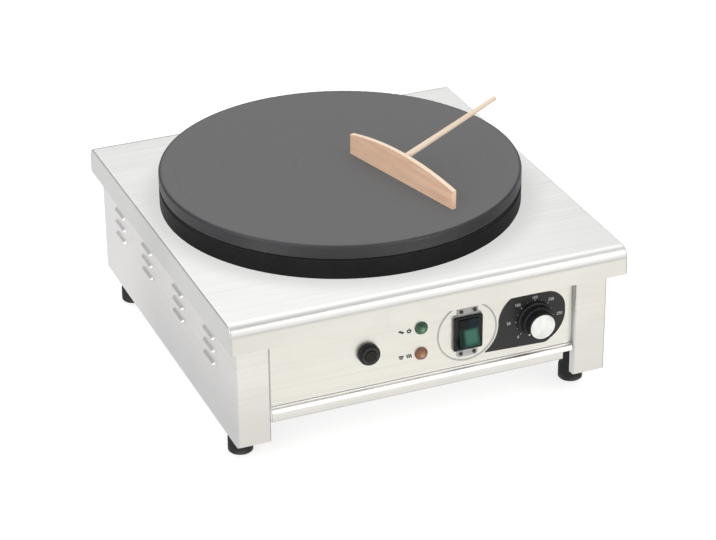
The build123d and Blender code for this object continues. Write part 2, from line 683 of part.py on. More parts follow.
# the rocker rests with its upper end pressed in
tilt = radians(-ROCKER_TILT)
rocker_plane = Plane(
    origin=(SWITCH_X, PIVOT_Y, SWITCH_Z),
    x_dir=(0, -cos(tilt), -sin(tilt)),
    z_dir=(-1, 0, 0),
)
with BuildPart() as rocker:
    # local x = outwards to the user, local y = up along the rocker
    with BuildSketch(rocker_plane):
        with BuildLine():
            Polyline(
                (-4.0, -9.0), (4.5, -16.4), (10.3, -15.5), (7.0, 0.0), (10.3, 15.5), (4.5, 16.4), (-4.0, 9.0), (-4.0, -9.0),
            )
        make_face()
    extrude(amount=11.4, both=True)
    fillet(rocker.edges().filter_by(Axis.X).sort_by(Axis.Y)[0:2], radius=0.8)
    with Locations(Location((SWITCH_X, PIVOT_Y, SWITCH_Z), (0, 90, 0))):
        Cylinder(1.55, 26.6)
rocker.part.label = "rocker"

# clear bracket clamped under the frame, with a lug above and below
with BuildPart() as switch_guard:
    with BuildSketch(panel_plane(PANEL_Y - 0.05)):
        with Locations((SWITCH_X, SWITCH_Z)):
            RectangleRounded(33.0, 43.4, 2.0)
        with Locations((SWITCH_X, SWITCH_Z + 0.3)):
            RectangleRounded(24.0, 59.0, 3.0)
        with Locations((SWITCH_X, SWITCH_Z)):
            Rectangle(27.9, 39.1, mode=Mode.SUBTRACT)
        with Locations(*CLIPS):
            Circle(1.2, mode=Mode.SUBTRACT)
    extrude(amount=1.2)
switch_guard.part.label = "switch_guard"

with BuildPart() as guard_clips:
    with BuildSketch(panel_plane(PANEL_Y - 1.3)):
        with Locations(*CLIPS):
            Circle(2.0)
    extrude(amount=1.3)
    with BuildSketch(panel_plane(PANEL_Y - 1.3)):
        with Locations(*CLIPS):
            Circle(1.15)
    extrude(amount=-5.0)
guard_clips.part.label = "guard_clips"

# ---------------------------------------------------------------------------
# over-temperature limiter with reset button
# ---------------------------------------------------------------------------
reset_axis = Axis((RESET_X, 0, RESET_Z), (0, 1, 0))
with BuildPart() as reset_collar:
    with BuildSketch(Plane(origin=(RESET_X, 0, RESET_Z), x_dir=(1, 0, 0), z_dir=(0, 0, 1))):
        with BuildLine():
            Polyline(
                (7.1, TAB_FRONT_Y + 1.1), (8.4, TAB_FRONT_Y + 1.1), (8.4, PANEL_Y - 0.05), (11.9, PANEL_Y - 0.05),
                (11.9, PANEL_Y - 5.0), (11.0, PANEL_Y - 7.0), (9.6, PANEL_Y - 7.7), (7.1, PANEL_Y - 7.7),
                (7.1, TAB_FRONT_Y + 1.1),
            )
        make_face()
    revolve(axis=reset_axis)
    with BuildSketch(panel_plane(PANEL_Y - 1.0)):
        with Locations((RESET_X, RESET_Z)):
            with PolarLocations(12.25, 28):
                Circle(0.75)
    extrude(amount=9.0, mode=Mode.SUBTRACT)
reset_collar.part.label = "reset_collar"

with BuildPart() as limiter_body:
    with BuildSketch(panel_plane(TAB_FRONT_Y + 1.2)):
        with Locations((RESET_X, RESET_Z)):
            RectangleRounded(38.0, 30.0, 3.0)
    extrude(amount=-26.0)
    with BuildSketch(panel_plane(TAB_FRONT_Y)):
        with Locations((RESET_X, RESET_Z)):
            Circle(7.1)
    extrude(amount=-14.0, mode=Mode.SUBTRACT)
    with BuildSketch(panel_plane(TAB_FRONT_Y + 27.2)):
        with Locations((RESET_X - 12, RESET_Z + 8), (RESET_X + 12, RESET_Z + 8)):
            Rectangle(6.3, 0.8)
    extrude(amount=-8.0)
limiter_body.part.label = "limiter_body"

with BuildPart() as limiter_bulb:
    with Locations(Location((LIMIT_HOLE[0], PLATE_Y + 4.0, 209.4), (90, 0, 0))):
        Cylinder(3.2, 90.0)
    with BuildLine() as limit_capillary:
        FilletPolyline(
            (LIMIT_HOLE[0], PLATE_Y - 40.0, 209.4),
            (LIMIT_HOLE[0], LIMIT_HOLE[1], 209.4),
            (LIMIT_HOLE[0], LIMIT_HOLE[1], 150.0),
            (-100.0, -120.0, 116.0),
            (RESET_X, -140.0, RESET_Z),
            (RESET_X, -179.8, RESET_Z),
            radius=[8.0, 16.0, 12.0, 10.0],
        )
    with BuildSketch(Plane(origin=(LIMIT_HOLE[0], PLATE_Y - 40.0, 209.4), z_dir=(0, -1, 0))):
        Circle(0.9)
    sweep(path=limit_capillary.wires()[0])
limiter_bulb.part.label = "limiter_bulb"

with BuildPart() as reset_button:
    with BuildSketch(panel_plane(PANEL_Y + 3.2)):
        with Locations((RESET_X, RESET_Z)):
            Circle(6.95)
    extrude(amount=12.4)
    fillet(reset_button.faces().sort_by(Axis.Y)[0].edges(), radius=1.2)
    with BuildSketch(panel_plane(PANEL_Y + 3.2)):
        with Locations((RESET_X, RESET_Z)):
            Circle(2.0)
    extrude(amount=-4.5)
reset_button.part.label = "reset_button"

with BuildPart() as reset_spring:
    with BuildSketch(panel_plane(PANEL_Y + 3.4)):
        with Locations((RESET_X, RESET_Z)):
            Circle(4.6)
            Circle(3.4, mode=Mode.SUBTRACT)
    extrude(amount=-11.6)
reset_spring.part.label = "reset_spring"

# ---------------------------------------------------------------------------
# pilot lamps
# ---------------------------------------------------------------------------


def lamp_lens(z):
    with BuildPart() as lens:
        with BuildSketch(Plane(origin=(LAMP_X, 0, z), x_dir=(1, 0, 0), z_dir=(0, 0, 1))):
            with BuildLine():
                Polyline(
                    (0, PANEL_Y - 0.1), (7.4, PANEL_Y - 0.1), (7.4, PANEL_Y - 1.1), (6.9, PANEL_Y - 1.6),
                    (6.1, PANEL_Y - 1.6), (5.9, PANEL_Y - 3.6), (5.0, PANEL_Y - 4.7), (3.0, PANEL_Y - 5.4),
                    (0, PANEL_Y - 5.6), (0, PANEL_Y - 0.1),
                )
            make_face()
        revolve(axis=Axis((LAMP_X, 0, z), (0, 1, 0)))
    return lens


green_lens = lamp_lens(GREEN_Z)
green_lens.part.label = "green_lens"
orange_lens = lamp_lens(ORANGE_Z)
orange_lens.part.label = "orange_lens"

with BuildPart() as lamp_bodies:
    with BuildSketch(panel_plane(PANEL_Y)):
        with Locations((LAMP_X, GREEN_Z), (LAMP_X, ORANGE_Z)):
            Circle(5.0)
    extrude(amount=-24.0)
    with BuildSketch(panel_plane(PANEL_Y + 24.0)):
        for lz in (GREEN_Z, ORANGE_Z):
            with Locations((LAMP_X - 2.4, lz), (LAMP_X + 2.4, lz)):
                Rectangle(0.8, 4.8)
    extrude(amount=-7.0)
lamp_bodies.part.label = "lamp_bodies"

with BuildPart() as lamp_clips:
    with BuildSketch(panel_plane(TAB_FRONT_Y + 0.1)):
        with Locations((LAMP_X, GREEN_Z), (LAMP_X, ORANGE_Z)):
            RegularPolygon(8.4, 6)
            Circle(5.05, mode=Mode.SUBTRACT)
    extrude(amount=-2.5)
lamp_clips.part.label = "lamp_clips"

# ---------------------------------------------------------------------------
# supply: gland, terminals, earth stud
# ---------------------------------------------------------------------------
gland_axis = Axis((GLAND_X, 0, GLAND_Z), (0, 1, 0))


def rear_plane(y):
    # sketch plane facing the rear, local x = -X, local y = Z
    return Plane(origin=(0, y, 0), x_dir=(-1, 0, 0), z_dir=(0, 1, 0))


with BuildPart() as gland_body:
    with BuildSketch(rear_plane(REAR_Y1 + 0.05)):
        with Locations((-GLAND_X, GLAND_Z)):
            RegularPolygon(12.5, 6)
    extrude(amount=4.5)
    with BuildSketch(rear_plane(REAR_Y1 + 4.0)):
        with Locations((-GLAND_X, GLAND_Z)):
            Circle(9.4)
    extrude(amount=8.0)
    with BuildSketch(rear_plane(REAR_Y1 + 0.5)):
        with Locations((-GLAND_X, GLAND_Z)):
            Circle(8.0)
    extrude(amount=-14.0)
    with BuildSketch(rear_plane(REAR_Y1 - 20.0)):
        with Locations((-GLAND_X, GLAND_Z)):
            Circle(7.0)
    extrude(amount=40.0, mode=Mode.SUBTRACT)
gland_body.part.label = "gland_body"

with BuildPart() as gland_dome:
    with BuildSketch(Plane(origin=(GLAND_X, 0, GLAND_Z), x_dir=(1, 0, 0), z_dir=(0, 0, 1))):
        with BuildLine():
            Polyline(
                (9.5, REAR_Y1 + 4.8), (11.8, REAR_Y1 + 4.8), (11.8, REAR_Y1 + 12.4), (10.2, REAR_Y1 + 15.6),
                (7.6, REAR_Y1 + 17.6), (6.2, REAR_Y1 + 17.6), (6.2, REAR_Y1 + 13.0), (9.5, REAR_Y1 + 13.0),
                (9.5, REAR_Y1 + 4.8),
            )
        make_face()
    revolve(axis=gland_axis)
    with BuildSketch(rear_plane(REAR_Y1 + 5.8)):
        with Locations((-GLAND_X, GLAND_Z)):
            with PolarLocations(12.3, 16):
                Circle(0.9)
    extrude(amount=7.0, mode=Mode.SUBTRACT)
gland_dome.part.label = "gland_dome"

with BuildPart() as gland_seal:
    with BuildSketch(rear_plane(REAR_Y1 + 0.9)):
        with Locations((-GLAND_X, GLAND_Z)):
            Circle(6.95)
            Circle(5.0, mode=Mode.SUBTRACT)
    extrude(amount=12.0)
gland_seal.part.label = "gland_seal"

with BuildPart() as gland_locknut:
    with BuildSketch(rear_plane(REAR_Y0 - 5.0)):
        with Locations((-GLAND_X, GLAND_Z)):
            RegularPolygon(12.0, 6)
            Circle(8.05, mode=Mode.SUBTRACT)
    extrude(amount=4.9)
gland_locknut.part.label = "gland_locknut"

with BuildPart() as earth_stud:
    # plain shank through the panel and nuts, then the free end for an eyelet
    with BuildSketch(rear_plane(REAR_Y0 - 14.0)):
        with Locations((-EARTH_X, EARTH_Z)):
            Circle(2.3)
    extrude(amount=REAR_Y1 + 5.2 - (REAR_Y0 - 14.0))
    with BuildSketch(rear_plane(REAR_Y1 + 5.2)):
        with Locations((-EARTH_X, EARTH_Z)):
            Circle(2.5)
    extrude(amount=11.6)
    chamfer(earth_stud.faces().sort_by(Axis.Y)[-1].edges(), length=0.6)
earth_stud.part.label = "earth_stud"

with BuildPart() as earth_nuts:
    with BuildSketch(rear_plane(REAR_Y1 + 0.05)):
        with Locations((-EARTH_X, EARTH_Z)):
            Circle(5.0)
            Circle(2.6, mode=Mode.SUBTRACT)
    extrude(amount=1.0)
    with BuildSketch(rear_plane(REAR_Y1 + 1.0)):
        with Locations((-EARTH_X, EARTH_Z)):
            RegularPolygon(4.6, 6)
            Circle(2.55, mode=Mode.SUBTRACT)
    extrude(amount=4.0)
    with BuildSketch(rear_plane(REAR_Y0 - 4.1)):
        with Locations((-EARTH_X, EARTH_Z)):
            RegularPolygon(4.6, 6)
            Circle(2.55, mode=Mode.SUBTRACT)
    extrude(amount=4.0)
earth_nuts.part.label = "earth_nuts"

BLOCK = (60.0, 165.0)
with BuildPart() as terminal_block:
    with BuildSketch(Plane.XY.offset(PAN_Z + SHEET + 0.05)):
        with Locations(BLOCK):
            Rectangle(46.0, 22.0)
    extrude(amount=18.0)
    chamfer(terminal_block.faces().sort_by(Axis.Z)[-1].edges().filter_by(Axis.X), length=4.0)
    with BuildSketch(Plane.XY.offset(PAN_Z + SHEET + 20.0)):
        with Locations(*[(BLOCK[0] + dx, BLOCK[1]) for dx in (-15, 0, 15)]):
            Circle(3.0)
    extrude(amount=-12.0, mode=Mode.SUBTRACT)
terminal_block.part.label = "terminal_block"

with BuildPart() as terminal_screws:
    with BuildSketch(Plane.XY.offset(PAN_Z + SHEET + 8.1)):
        with Locations(*[(BLOCK[0] + dx, BLOCK[1]) for dx in (-15, 0, 15)]):
            Circle(2.9)
    extrude(amount=7.0)
    with BuildSketch(Plane.XY.offset(PAN_Z + SHEET + 16.0)):
        with Locations(*[(BLOCK[0] + dx, BLOCK[1]) for dx in (-15, 0, 15)]):
            Rectangle(5.0, 0.8)
    extrude(amount=-2.0, mode=Mode.SUBTRACT)
terminal_screws.part.label = "terminal_screws"


# ---------------------------------------------------------------------------
# internal wiring, each run straight lines joined by tangent arcs
# ---------------------------------------------------------------------------
WIRE_R = 1.4


def wire(points, radii):
    with BuildPart() as lead:
        with BuildLine() as route:
            FilletPolyline(*points, radius=radii)
        start = Vector(*points[0])
        heading = Vector(*points[1]) - start
        with BuildSketch(Plane(origin=start, z_dir=heading)):
            Circle(WIRE_R)
        sweep(path=route.wires()[0])
    return lead.part


block_rear = BLOCK[1] + 11.1
block_front = BLOCK[1] - 11.1
BLOCK_Z = PAN_Z + SHEET + 5.0
wire_runs = [
    # live: block to main switch
    wire(
        [(BLOCK[0] - 15, block_front, BLOCK_Z), (BLOCK[0] - 15, 100, 58), (44, -120, 58), (44, -150, 98.2), (44, -174.1, 98.2)],
        [20, 30, 14],
    ),
    # neutral: block to outer element
    wire(
        [(BLOCK[0], block_front, BLOCK_Z), (BLOCK[0], 110, 60), (LEGS[0][0] + 4, 120, 120), (LEGS[0][0], LEGS[0][1], 138), (LEGS[0][0], LEGS[0][1], 145.9)],
        [16, 20, 3],
    ),
    # switched live: switch to thermostat
    wire(
        [(58, -174.1, 116.2), (58, -150, 116.2), (100, -150, 122), (118, -150, 114), (118, -167.7, 114)],
        [10, 8, 8],
    ),
    # thermostat to limiter
    wire(
        [(142, -167.7, 114), (142, -130, 114), (0, -128, 142), (-51, -140, 114), (-51, -171.7, 114)],
        [20, 25, 12],
    ),
    # earth: block to the bonding stud
    wire(
        [(BLOCK[0] + 15, block_front, BLOCK_Z), (BLOCK[0] + 15, 135, 57), (-60, 130, 57), (-140, 160, 88), (-140, REAR_Y0 - 14.1, 88)],
        [8, 30, 20],
    ),
]
wiring_loom = Compound(children=wire_runs)
wiring_loom.label = "wiring_loom"

# ---------------------------------------------------------------------------
# wooden batter spreader standing on the griddle
# ---------------------------------------------------------------------------
b = radians(BLADE_DIR)
blade_dir = Vector(cos(b), sin(b), 0)
blade_out = Vector(-sin(b), cos(b), 0)          # from the working face to the handle side
blade_mid = Vector(BLADE_MID[0], BLADE_MID[1], PLATE_TOP + 0.1)
face_plane = Plane(origin=blade_mid, x_dir=blade_dir, z_dir=blade_dir.cross(Vector(0, 0, 1)))
stick_dir = (blade_out * cos(radians(STICK_UP)) + Vector(0, 0, sin(radians(STICK_UP)))).normalized()
stick_root = blade_mid + blade_dir * 2.0 + blade_out * (BLADE_T - 3.4) + Vector(0, 0, STICK_H)

with BuildPart() as spreader_blade:
    with BuildSketch(face_plane):
        with BuildLine():
            h = BLADE_L / 2
            Line((-h, 0), (h, 0))
            Line((h, 0), (h, BLADE_NEAR_H))
            ThreePointArc((h, BLADE_NEAR_H), (0, BLADE_MID_H), (-h, BLADE_FAR_H))
            Line((-h, BLADE_FAR_H), (-h, 0))
        make_face()
    extrude(amount=-BLADE_T)
    fillet(spreader_blade.edges(), radius=0.8)
    with BuildSketch(Plane(origin=stick_root, z_dir=stick_dir)):
        Circle(STICK_R + 0.03)
    extrude(amount=12, mode=Mode.SUBTRACT)
spreader_blade.part.label = "spreader_blade"

with BuildPart() as spreader_handle:
    # turned round, thinner towards the free end
    with Locations(Plane(origin=stick_root + stick_dir * 0.05, z_dir=stick_dir).location):
        Cone(STICK_R, STICK_TIP_R, STICK_L, align=(Align.CENTER, Align.CENTER, Align.MIN))
    fillet(spreader_handle.edges().filter_by(GeomType.CIRCLE), radius=1.2)
spreader_handle.part.label = "spreader_handle"

# ---------------------------------------------------------------------------
# export, one file for each node
# ---------------------------------------------------------------------------
for name, shape in (
    ("top_panel", top_panel.part),
    ("left_side_panel", left_side_panel.part),
    ("right_side_panel", right_side_panel.part),
    ("front_panel", front_panel.part),
    ("rear_panel", rear_panel.part),
    ("rear_screws", rear_screws.part),
    ("base_pan", base_pan.part),
    ("rubber_feet", rubber_feet.part),
    ("foot_screws", foot_screws.part),
    ("foot_nuts", foot_nuts.part),
    ("griddle_plate", griddle_plate.part),
    ("plate_skirt", plate_skirt.part),
    ("heater_pan", heater_pan.part),
    ("insulation_pad", insulation_pad.part),
    ("element_clamp", element_clamp.part),
    ("outer_element", outer_element.part),
    ("middle_element", middle_element.part),
    ("inner_element", inner_element.part),
    ("element_terminals", element_terminals.part),
    ("plate_studs", plate_studs.part),
    ("plate_nuts", plate_nuts.part),
    ("support_bars", support_bars.part),
    ("thermostat_body", thermostat_body.part),
    ("thermostat_screws", thermostat_screws.part),
    ("thermostat_bulb", thermostat_bulb.part),
    ("thermostat_shaft", thermostat_shaft.part),
    ("knob_skirt", knob_skirt.part),
    ("knob_cap", knob_cap.part),
    ("knob_pointer", knob_pointer.part),
    ("dial_plate", dial_plate.part),
    ("switch_ring", switch_ring.part),
    ("switch_frame", switch_frame.part),
    ("switch_housing", switch_housing.part),
    ("rocker", rocker.part),
    ("switch_guard", switch_guard.part),
    ("guard_clips", guard_clips.part),
    ("reset_collar", reset_collar.part),
    ("limiter_body", limiter_body.part),
    ("limiter_bulb", limiter_bulb.part),
    ("reset_button", reset_button.part),
    ("reset_spring", reset_spring.part),
    ("green_lens", green_lens.part),
    ("orange_lens", orange_lens.part),
    ("lamp_bodies", lamp_bodies.part),
    ("lamp_clips", lamp_clips.part),
    ("gland_body", gland_body.part),
    ("gland_dome", gland_dome.part),
    ("gland_seal", gland_seal.part),
    ("gland_locknut", gland_locknut.part),
    ("earth_stud", earth_stud.part),
    ("earth_nuts", earth_nuts.part),
    ("terminal_block", terminal_block.part),
    ("terminal_screws", terminal_screws.part),
    ("wiring_loom", wiring_loom),
    ("spreader_blade", spreader_blade.part),
    ("spreader_handle", spreader_handle.part),
):
    shape.label = name
    export_step(shape, f"parts/{name}.step")
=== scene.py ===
import bmesh
import bpy
import math
from mathutils import Matrix, Vector


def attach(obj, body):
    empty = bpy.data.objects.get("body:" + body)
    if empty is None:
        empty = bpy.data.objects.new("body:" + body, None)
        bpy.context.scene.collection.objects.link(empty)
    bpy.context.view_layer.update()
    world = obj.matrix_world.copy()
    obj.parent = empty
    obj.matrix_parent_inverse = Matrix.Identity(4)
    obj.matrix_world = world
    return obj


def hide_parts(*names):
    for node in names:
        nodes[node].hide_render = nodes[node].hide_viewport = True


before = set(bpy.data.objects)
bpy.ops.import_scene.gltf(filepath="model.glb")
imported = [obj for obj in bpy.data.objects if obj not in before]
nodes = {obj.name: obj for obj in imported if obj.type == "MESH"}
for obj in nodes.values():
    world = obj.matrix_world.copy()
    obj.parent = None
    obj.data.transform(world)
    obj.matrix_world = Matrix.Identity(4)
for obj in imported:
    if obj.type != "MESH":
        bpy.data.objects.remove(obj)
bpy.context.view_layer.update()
scene = bpy.context.scene
scene.view_settings.view_transform = "Standard"
scene.view_settings.look = "None"

# The object, in millimetres, where the looks need a number of its own.
PANEL_Y = -208.2
KNOB = (130.0, 106.0)
SWITCH = (51.0, 107.2)
LAMP_X, GREEN_Z, ORANGE_Z = -2.3, 123.0, 92.3
PLATE_X, PLATE_Y = -7.0, 4.0


# ---------------------------------------------------------------------------
# camera
# ---------------------------------------------------------------------------
def make_camera():
    yaw, pitch, roll = math.radians(-22.35), math.radians(27.78), math.radians(-0.47)
    target = Vector((0.00083, -0.03571, 0.110))
    back = Vector(
        (
            math.sin(yaw) * math.cos(pitch),
            -math.cos(yaw) * math.cos(pitch),
            math.sin(pitch),
        )
    )
    place = target + back * 2.8138
    right = (-back).cross(Vector((0, 0, 1))).normalized()
    up = right.cross(-back).normalized()
    r = right * math.cos(roll) + up * math.sin(roll)
    u = -right * math.sin(roll) + up * math.cos(roll)
    data = bpy.data.cameras.new("camera")
    data.sensor_fit = "HORIZONTAL"
    data.sensor_width = 36.0
    data.lens = 2533.0 * 36.0 / 716.0
    data.shift_x = -3.13 / 716.0
    data.shift_y = -1.88 / 716.0
    data.clip_start, data.clip_end = 0.05, 60.0
    cam = bpy.data.objects.new("camera", data)
    scene.collection.objects.link(cam)
    cam.matrix_world = Matrix(
        (
            (r.x, u.x, back.x, place.x),
            (r.y, u.y, back.y, place.y),
            (r.z, u.z, back.z, place.z),
            (0, 0, 0, 1),
        )
    )
    scene.camera = cam


make_camera()


# ---------------------------------------------------------------------------
# materials
# ---------------------------------------------------------------------------
class Mat:
    """A Principled material whose patterns come from the object's own coordinates, in metres."""

    def __init__(self, name, **sockets):
        self.m = bpy.data.materials.new(name)
        self.m.use_nodes = True
        self.t = self.m.node_tree
        self.t.nodes.clear()
        out = self.t.nodes.new("ShaderNodeOutputMaterial")
        self.b = self.t.nodes.new("ShaderNodeBsdfPrincipled")
        self.t.links.new(self.b.outputs[0], out.inputs[0])
        for key, value in sockets.items():
            self.b.inputs[key.replace("_", " ")].default_value = value
        coords = self.t.nodes.new("ShaderNodeTexCoord")
        self.obj = coords.outputs["Object"]
        self.nrm = coords.outputs["Normal"]

    def link(self, value, socket):
        if isinstance(value, bpy.types.NodeSocket):
            self.t.links.new(value, socket)
        else:
            socket.default_value = value

    def mapped(self, scale=(1, 1, 1), rot=(0, 0, 0), loc=(0, 0, 0), vec=None):
        n = self.t.nodes.new("ShaderNodeMapping")
        self.t.links.new(vec or self.obj, n.inputs["Vector"])
        n.inputs["Location"].default_value = loc
        n.inputs["Rotation"].default_value = rot
        n.inputs["Scale"].default_value = scale
        return n.outputs[0]

    def noise(self, vec, scale=1.0, detail=4.0, rough=0.55, distortion=0.0):
        n = self.t.nodes.new("ShaderNodeTexNoise")
        self.t.links.new(vec, n.inputs["Vector"])
        n.inputs["Scale"].default_value = scale
        n.inputs["Detail"].default_value = detail
        n.inputs["Roughness"].default_value = rough
        n.inputs["Distortion"].default_value = distortion
        return n.outputs["Fac"]

    def voronoi(self, vec, scale=1.0, feature="F1", output="Distance", randomness=1.0):
        n = self.t.nodes.new("ShaderNodeTexVoronoi")
        n.feature = feature
        self.t.links.new(vec, n.inputs["Vector"])
        n.inputs["Scale"].default_value = scale
        n.inputs["Randomness"].default_value = randomness
        return n.outputs[output]

    def math(self, op, a, b=None, clamp=False):
        n = self.t.nodes.new("ShaderNodeMath")
        n.operation = op
        n.use_clamp = clamp
        self.link(a, n.inputs[0])
        if b is not None:
            self.link(b, n.inputs[1])
        return n.outputs[0]

    def fit(self, value, a, b, c=0.0, d=1.0, smooth=False):
        n = self.t.nodes.new("ShaderNodeMapRange")
        n.interpolation_type = "SMOOTHSTEP" if smooth else "LINEAR"
        self.link(value, n.inputs["Value"])
        for key, x in (("From Min", a), ("From Max", b), ("To Min", c), ("To Max", d)):
            n.inputs[key].default_value = x
        return n.outputs["Result"]

    def mix(self, fac, a, b, blend="MIX"):
        n = self.t.nodes.new("ShaderNodeMix")
        n.data_type = "RGBA"
        n.blend_type = blend
        self.link(fac, n.inputs["Factor"])
        for value, key in ((a, "A"), (b, "B")):
            socket = [s for s in n.inputs if s.name == key and s.type == "RGBA"][0]
            self.link(value if not isinstance(value, tuple) else rgba(value), socket)
        return [s for s in n.outputs if s.type == "RGBA"][0]

    def ramp(self, fac, stops):
        n = self.t.nodes.new("ShaderNodeValToRGB")
        e = n.color_ramp.elements
        while len(e) < len(stops):
            e.new(0.5)
        for item, (pos, col) in zip(e, stops):
            item.position = pos
            item.color = rgba(col)
        self.link(fac, n.inputs["Fac"])
        return n.outputs["Color"]

    def split(self, vec):
        n = self.t.nodes.new("ShaderNodeSeparateXYZ")
        self.t.links.new(vec, n.inputs[0])
        return n.outputs

    def join(self, x=0.0, y=0.0, z=0.0):
        n = self.t.nodes.new("ShaderNodeCombineXYZ")
        for value, socket in zip((x, y, z), n.inputs):
            self.link(value, socket)
        return n.outputs[0]

    def choose(self, fac, a, b):
        """A vector between a and b."""
        n = self.t.nodes.new("ShaderNodeMix")
        n.data_type = "VECTOR"
        self.link(fac, n.inputs["Factor"])
        sockets = [s for s in n.inputs if s.type == "VECTOR"]
        self.t.links.new(a, sockets[0])
        self.t.links.new(b, sockets[1])
        return [s for s in n.outputs if s.type == "VECTOR"][0]

    def bump(self, height, strength, distance, after=None):
        n = self.t.nodes.new("ShaderNodeBump")
        n.inputs["Strength"].default_value = strength
        n.inputs["Distance"].default_value = distance
        self.t.links.new(height, n.inputs["Height"])
        if after is not None:
            self.t.links.new(after, n.inputs["Normal"])
        return n.outputs[0]

    def use(self, color=None, rough=None, normal=None, metallic=None):
        if color is not None:
            self.link(color, self.b.inputs["Base Color"])
        if rough is not None:
            self.link(rough, self.b.inputs["Roughness"])
        if normal is not None:
            self.link(normal, self.b.inputs["Normal"])
        if metallic is not None:
            self.link(metallic, self.b.inputs["Metallic"])
        return self.m


def rgba(c):
    return (c[0], c[1], c[2], 1.0) if len(c) == 3 else tuple(c)


def shade(c, k):
    return tuple(min(1.0, x * k) for x in c)


def steel(name, base, rough, grain, seed=0.0, painted_low_shade=None, roll=None, rear=None):
    """Satin brushed stainless sheet. grain says which way the brush ran: flat for a top whose side lips are folded
    down, round for panels brushed level. The argument after the seed paints shade over the lower part: (height, height,
    share left). roll leans the sheet back towards a bend: (height, height, depth). rear is a painted lighter tone
    towards the back, standing in for a brighter reflection there.
    """
    k = Mat(name, Metallic=1.0)
    loc = (seed, seed * 1.7, seed * 0.3)
    if grain == "flat":
        n = k.split(k.nrm)
        side = k.fit(k.math("ABSOLUTE", n["X"]), 0.6, 0.75)
        fine_v = k.choose(
            side, k.mapped((5, 1500, 1500), loc=loc), k.mapped((5, 1500, 5), loc=loc)
        )
        wide_v = k.choose(
            side, k.mapped((1.6, 210, 210), loc=loc), k.mapped((1.6, 210, 1.6), loc=loc)
        )
    elif grain == "upright":
        fine_v, wide_v = (
            k.mapped((1500, 1500, 5), loc=loc),
            k.mapped((210, 210, 1.6), loc=loc),
        )
    else:
        fine_v, wide_v = (
            k.mapped((5, 5, 1500), loc=loc),
            k.mapped((1.6, 1.6, 210), loc=loc),
        )
    fine = k.noise(fine_v, 1.0, 5.0, 0.7)
    wide = k.noise(wide_v, 1.0, 5.0, 0.6)
    cloud = k.noise(k.mapped((1, 1, 1), loc=loc), 7.0, 3.0, 0.5, 0.4)
    smear = k.noise(k.mapped((9, 30, 22), loc=loc, rot=(0, 0, 0.5)), 1.0, 4.0, 0.6, 1.5)
    tone = k.math("ADD", k.fit(fine, 0.25, 0.75, 0.0, 0.45), k.fit(wide, 0.3, 0.7, 0.0, 0.55))
    color = k.ramp(tone, [(0.15, shade(base, 0.90)), (0.5, base), (0.9, shade(base, 1.05))])
    color = k.mix(
        k.fit(cloud, 0.35, 0.7, 0.0, 0.5), color, shade((base[0] * 1.01, base[1], base[2] * 0.985), 0.97)
    )
    if grain == "flat":
        # painted shade: the sheet is darkened close to the hot plate, standing in for the shade and reflection of the
        # plate's skirt
        p = k.split(k.obj)
        x = k.math("SUBTRACT", p["X"], PLATE_X / 1000)
        y = k.math("SUBTRACT", p["Y"], PLATE_Y / 1000)
        away = k.math("SQRT", k.math("ADD", k.math("MULTIPLY", x, x), k.math("MULTIPLY", y, y)))
        color = k.mix(k.fit(away, 0.236, 0.198, 0.0, 1.0, smooth=True), color, shade(base, 0.80))
    # painted light: the sheet is made lighter towards the back, standing in for a brighter reflection there
    if rear:
        color = k.mix(k.fit(k.split(k.obj)["Y"], 0.02, 0.19, smooth=True), color, shade(base, rear))
    # painted shade: the lower part is darkened, standing in for the darker reflection of the floor below; with rear it
    # fades out towards the back
    if painted_low_shade:
        low = k.fit(k.split(k.obj)["Z"], painted_low_shade[0], painted_low_shade[1], smooth=True)
        if rear:
            low = k.math("MULTIPLY", low, k.fit(k.split(k.obj)["Y"], 0.16, 0.0, smooth=True))
        color = k.mix(low, color, shade((base[0], base[1] * 1.005, base[2] * 1.01), painted_low_shade[2]))
    r = k.math("ADD", k.fit(fine, 0.2, 0.8, rough - 0.05, rough + 0.05), k.fit(wide, 0.3, 0.7, -0.02, 0.02))
    r = k.math("ADD", r, k.fit(smear, 0.45, 0.75, 0.0, 0.055))
    r = k.math("ADD", r, k.fit(cloud, 0.3, 0.7, -0.015, 0.02))
    lean = None
    if roll:
        up = k.fit(k.split(k.obj)["Z"], roll[0], roll[1])
        lean = k.bump(k.math("SUBTRACT", 1.0, k.math("MULTIPLY", up, up)), 1.0, roll[2])
    return k.use(color, r, k.bump(k.math("ADD", fine, k.math("MULTIPLY", wide, 0.35)), 0.22, 0.00004, lean))


def zinc(name, base, rough=0.34, spangle=0.0):
    """Plain machine steel or zinc plate, with spangles where they show."""
    k = Mat(name, Metallic=1.0)
    grit = k.noise(k.obj, 2600.0, 4.0, 0.6)
    cloud = k.noise(k.obj, 90.0, 4.0, 0.6, 0.5)
    color = k.mix(k.fit(cloud, 0.3, 0.75), shade(base, 0.82), shade(base, 1.06))
    if spangle:
        cell = k.voronoi(k.obj, spangle, output="Color")
        color = k.mix(k.fit(k.split(cell)["X"], 0.0, 1.0, 0.0, 0.6), color, shade(base, 0.72))
    r = k.math("ADD", k.fit(grit, 0.25, 0.75, rough - 0.06, rough + 0.08), k.fit(cloud, 0.3, 0.7, -0.03, 0.05))
    return k.use(color, r, k.bump(grit, 0.25, 0.00003))


